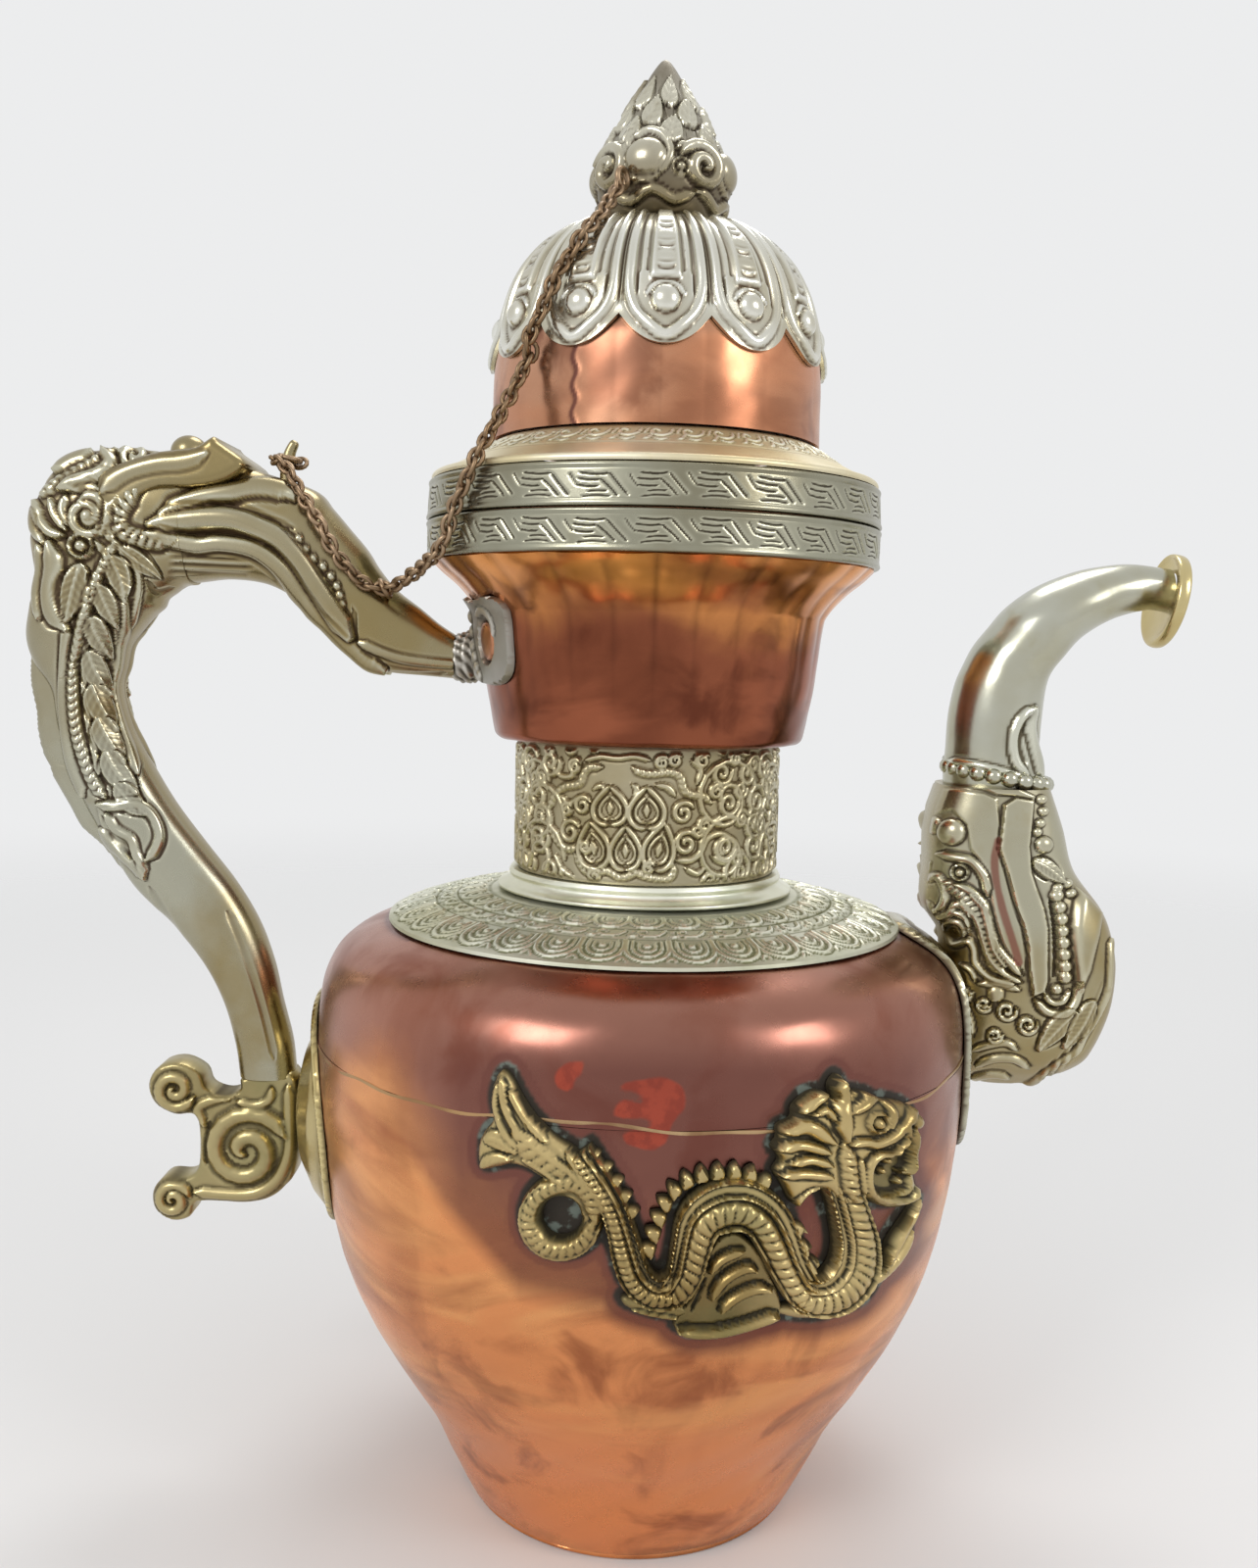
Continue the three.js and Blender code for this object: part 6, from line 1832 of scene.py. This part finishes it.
LOOP_TURN, LOOP_RADIUS = math.radians(31), 18.85
LOOP_PLACE = np.array([-LOOP_RADIUS * math.sin(LOOP_TURN), -LOOP_RADIUS * math.cos(LOOP_TURN), 326.4])
loop_axis = (math.cos(LOOP_TURN), -math.sin(LOOP_TURN), 0)
wire_ring("finial_eye", LOOP_PLACE, loop_axis, 2.2, "lid", "finial_loop")
wire_ring("snout_eye", (-66.03, -8.68, 229.5), (0.87, 0, 0.5), 2.2, "vessel", "chain_eyelet")
wire_ring("pin_wire", (-91.87, 0, 261.3), (0.1, 0, 1), 2.7, "vessel", "pin_ring")

# %% [markdown]
# ## Chain and bead collar with Geometry Nodes
# A chain is one link repeated along a path, each turned against the last, and the collar of the spout
# is one bead repeated round a ring. A node tree walks the path, puts a copy at every step and makes
# the copies real, so that spacing and size stay inputs that can be changed.

# %% A tree that repeats a shape along a path
def path_tree(name, finish, link):
    """Repeats a ring of wire (link) or a bead along a path."""
    tree = bpy.data.node_groups.new(name, "GeometryNodeTree")
    face = tree.interface
    face.new_socket("Path", in_out="INPUT", socket_type="NodeSocketGeometry")
    for socket, value in (("Spacing", 0.002), ("Width", 0.003), ("Wire", 0.001), ("Turn", 1.57)):
        face.new_socket(socket, in_out="INPUT", socket_type="NodeSocketFloat").default_value = value
    face.new_socket("Copies", in_out="OUTPUT", socket_type="NodeSocketGeometry")

    def add(kind, settings, values, out=0):
        made = tree.nodes.new(kind)
        for key, value in settings.items():
            setattr(made, key, value)
        for key, value in values.items():
            if isinstance(value, bpy.types.NodeSocket):
                tree.links.new(value, made.inputs[key])
            else:
                made.inputs[key].default_value = value
        return made.outputs[out] if made.outputs else None

    def circle_of(resolution, radius):
        return add("GeometryNodeCurvePrimitiveCircle", {"mode": "RADIUS"},
                   {"Resolution": resolution, "Radius": radius})

    def scaled(shape, x, y, z):
        size = add("ShaderNodeCombineXYZ", {}, {"X": x, "Y": y, "Z": z})
        return add("GeometryNodeTransform", {}, {"Geometry": shape, "Scale": size})

    def product(first, second):
        return add("ShaderNodeMath", {"operation": "MULTIPLY"}, {0: first, 1: second})

    given = add("NodeGroupInput", {}, {}).node.outputs
    walk = add("GeometryNodeCurveToPoints", {"mode": "LENGTH"},
               {"Curve": given["Path"], "Length": given["Spacing"]}, "Points")
    angle = product(add("GeometryNodeInputIndex", {}, {}), given["Turn"])
    twist = add("FunctionNodeAxisAngleToRotation", {}, {"Axis": (0, 0, 1), "Angle": angle})
    turned = add("FunctionNodeRotateRotation", {"rotation_space": "LOCAL"},
                 {"Rotation": walk.node.outputs["Rotation"], "Rotate By": twist})
    if link:
        oval = scaled(circle_of(12, 0.5), product(given["Width"], 1.5), given["Width"], 1.0)
        body = add("GeometryNodeCurveToMesh", {},
                   {"Curve": oval, "Profile Curve": circle_of(6, given["Wire"])})
        shape = add("GeometryNodeTransform", {}, {"Geometry": body, "Rotation": (0, 1.5708, 0)})
    else:
        ball = add("GeometryNodeMeshUVSphere", {}, {"Segments": 12, "Rings": 8, "Radius": 0.5})
        shape = scaled(ball, given["Wire"], given["Wire"], given["Width"])
    copies = add("GeometryNodeInstanceOnPoints", {}, {"Points": walk, "Instance": shape, "Rotation": turned})
    real = add("GeometryNodeRealizeInstances", {}, {"Geometry": copies})
    smooth = add("GeometryNodeSetShadeSmooth", {}, {"Geometry": real})
    dressed = add("GeometryNodeSetMaterial", {}, {"Geometry": smooth, "Material": finish})
    add("NodeGroupOutput", {}, {"Copies": dressed})
    return tree


def repeated_piece(name, tree, path, closed, inputs, body, node):
    """Runs the tree on a path in millimetres and keeps its result as a plain mesh."""
    curve = bpy.data.curves.new(name + "_path", "CURVE")
    curve.dimensions = "3D"
    spline = curve.splines.new("POLY")
    spline.points.add(len(path) - 1)
    for point, place in zip(spline.points, path):
        point.co = (*(place * MM), 1)
    spline.use_cyclic_u = closed
    walker = bpy.data.objects.new(name + "_walker", curve)
    scene.collection.objects.link(walker)
    modifier = walker.modifiers.new("copies", "NODES")
    modifier.node_group = tree
    for item in tree.interface.items_tree:
        if item.in_out == "INPUT" and item.name in inputs:
            modifier[item.identifier] = inputs[item.name]
    ready = walker.evaluated_get(bpy.context.evaluated_depsgraph_get())
    mesh = bpy.data.meshes.new_from_object(ready)
    mesh.name = name
    walker.modifiers.remove(modifier)
    bpy.data.objects.remove(walker)
    bpy.data.curves.remove(curve)
    return place_piece(name, mesh, body, [node])


# %% Chain paths
LID_OUTSIDE = read_points("""
236.9,57 246.3,57.1 256.2,56.4 258.5,52.8 266.2,41.2 283.6,40.9 283.8,43 290,41.6 300,38.6 308,33.4
313,27.5 316,22 319.8,10
""")
CHAIN_HALF = 1.9


def clear_of_lid(path):
    """Pushes points of a path out until the chain only rests on cap, flange and bands."""
    reach = np.hypot(path[:, 0], path[:, 1])
    need = np.interp(path[:, 2], *zip(*LID_OUTSIDE), left=0, right=0) + CHAIN_HALF
    grow = np.maximum(need / reach, 1)[:, None]
    return np.hstack([path[:, :2] * grow, path[:, 2:]])


upper_path = [(LOOP_PLACE[0] - 0.6, LOOP_PLACE[1] - 1.0, 324.6)] + read_points("""
-12.6,-21.5,319.4 -14.2,-26.5,315.1 -17.9,-31,309.7 -21.1,-31,304.3 -23.4,-31.5,298.5
-25.8,-31.5,291.3 -29.2,-31,283.4 -33.6,-34,273 -40.6,-40.5,257.9 -43.3,-39.3,251.8 -46.3,-36,245.4
-48.3,-34,240 -51.3,-30,236.5 -56.5,-20,233.5 -62,-13,230.6 -66,-9.5,229.6
""")
lower_path = read_points("""
-66.2,-10,229.4 -70.7,-11,230.6 -75.4,-12.5,235.1 -78.7,-13,239.7 -80.6,-13.2,243.6
-83.9,-12,248.4 -87,-9.5,252.8 -90.5,-5.6,257.8 -93.6,-3.4,260.6 -95,0.4,261.2 -92.6,3,261
-89.4,1.6,260.6
""")
upper_path = clear_of_lid(smooth_line(upper_path))
lower_path = smooth_line(lower_path)
for label, path in (("upper", upper_path), ("lower", lower_path)):
    print(label, "chain", round(lengths_along(path)[-1], 1), "mm long")
chain_tree = path_tree("chain_links", chain_metal, True)
link_sizes = {"Spacing": 2.4 * MM, "Width": 2.9 * MM, "Wire": 0.58 * MM, "Turn": 1.31}
upper_chain = repeated_piece("chain_to_lid", chain_tree, upper_path, False, link_sizes, None, "chain_upper")
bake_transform(upper_chain)
repeated_piece("chain_to_pin", chain_tree, lower_path, False, link_sizes, "vessel", "chain_lower")

# %% Bead collar
collar_turn = full_turn(72)
collar_path = np.stack([89.4 + 12.3 * np.cos(collar_turn), 12.9 * np.sin(collar_turn),
                        186.4 - 1.9 * np.cos(collar_turn)], axis=1)
bead_tree = path_tree("collar_beads", spout_metal, False)
bead_sizes = {"Spacing": 4.16 * MM, "Width": 4.4 * MM, "Wire": 4.2 * MM, "Turn": 0.0}
repeated_piece("spout_bead_collar", bead_tree, collar_path, True, bead_sizes, "vessel", "spout_bead_ring")

# %% [markdown]
# ## Hidden parts
# The rivet that holds the bud and its washer stay as the solids have them, with a finish of their own.

# %% Hidden parts
for name, finish in (("finial_tang", dome_copper), ("tang_washer", solder_metal)):
    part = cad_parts[name]
    for slot in part.material_slots:
        slot.material = finish
    print(name, "keeps its solid,", len(part.data.polygons), "faces")

# %% [markdown]
# ## Light and floor
# The finished piece stands on a plain pale floor under two broad soft lamps, as in a small studio.

# %% Studio
def soft_lamp(name, place, aim_height, size, power):
    """A square lamp, in metres and watts, aimed at a height on the axis."""
    lamp = bpy.data.lights.new(name, "AREA")
    lamp.shape, lamp.size, lamp.energy = "SQUARE", size, power
    made = bpy.data.objects.new(name, lamp)
    made.location = place
    aim = Vector((0, 0, aim_height)) - Vector(place)
    made.rotation_euler = aim.to_track_quat("-Z", "Y").to_euler()
    scene.collection.objects.link(made)


soft_lamp("left_lamp", (-0.7, -0.9, 0.85), 0.18, 0.45, 5.5)
soft_lamp("right_lamp", (0.9, -0.6, 0.7), 0.15, 0.4, 3.2)
soft_lamp("top_lamp", (0.1, 0.5, 1.2), 0.2, 0.5, 4)

FLOOR_HALF = 8
floor_mesh = bpy.data.meshes.new("floor")
floor_mesh.from_pydata([(x * FLOOR_HALF, y * FLOOR_HALF, 0) for x, y in ((-1, -1), (1, -1), (1, 1), (-1, 1))],
                       [], [(0, 1, 2, 3)])
floor = bpy.data.objects.new("floor", floor_mesh)
scene.collection.objects.link(floor)
floor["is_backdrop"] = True
chalk = Finish("floor_chalk")
chalk_skin = chalk.node("BsdfPrincipled", {}, {"Base Color": (0.66, 0.66, 0.66, 1), "Roughness": 0.85,
                                               "Specular IOR Level": 0.2})
away = chalk.node("VectorMath", {"operation": "LENGTH"}, {0: chalk.place}, "Value")
clear = chalk.node("BsdfTransparent", {}, {})
chalk.end("Material", chalk.node("MixShader", {}, {0: away.above(0.3, 1.5), 1: chalk_skin, 2: clear}))
floor_mesh.materials.append(chalk.material)

world = scene.world or bpy.data.worlds.new("studio")
scene.world = world
world.use_nodes = True
air = Shading(world.node_tree)
seen, mirrored, through = [air.node("LightPath", {}, {}, ray)
                           for ray in ("Is Camera Ray", "Is Glossy Ray", "Is Transmission Ray")]
shown = seen.maths("MAXIMUM", seen.maths("MAXIMUM", seen, mirrored), through)
light = air.node("Background", {}, {"Color": (1, 1, 1, 1), "Strength": 0.85})
backdrop = air.node("Background", {}, {"Color": (0.84, 0.845, 0.85, 1), "Strength": 1.0})
air.end("World", air.node("MixShader", {}, {0: shown, 1: light, 2: backdrop}))
scene.view_settings.view_transform = "Standard"
print("studio ready")

# %% Sizes, and the end of the lesson
seen_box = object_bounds()
boxes = {"solid": solid_box, "seen": seen_box}
{name: [list(map(float, corner)) for corner in box] for name, box in boxes.items()}
print("solid", solid_box, "seen", seen_box)
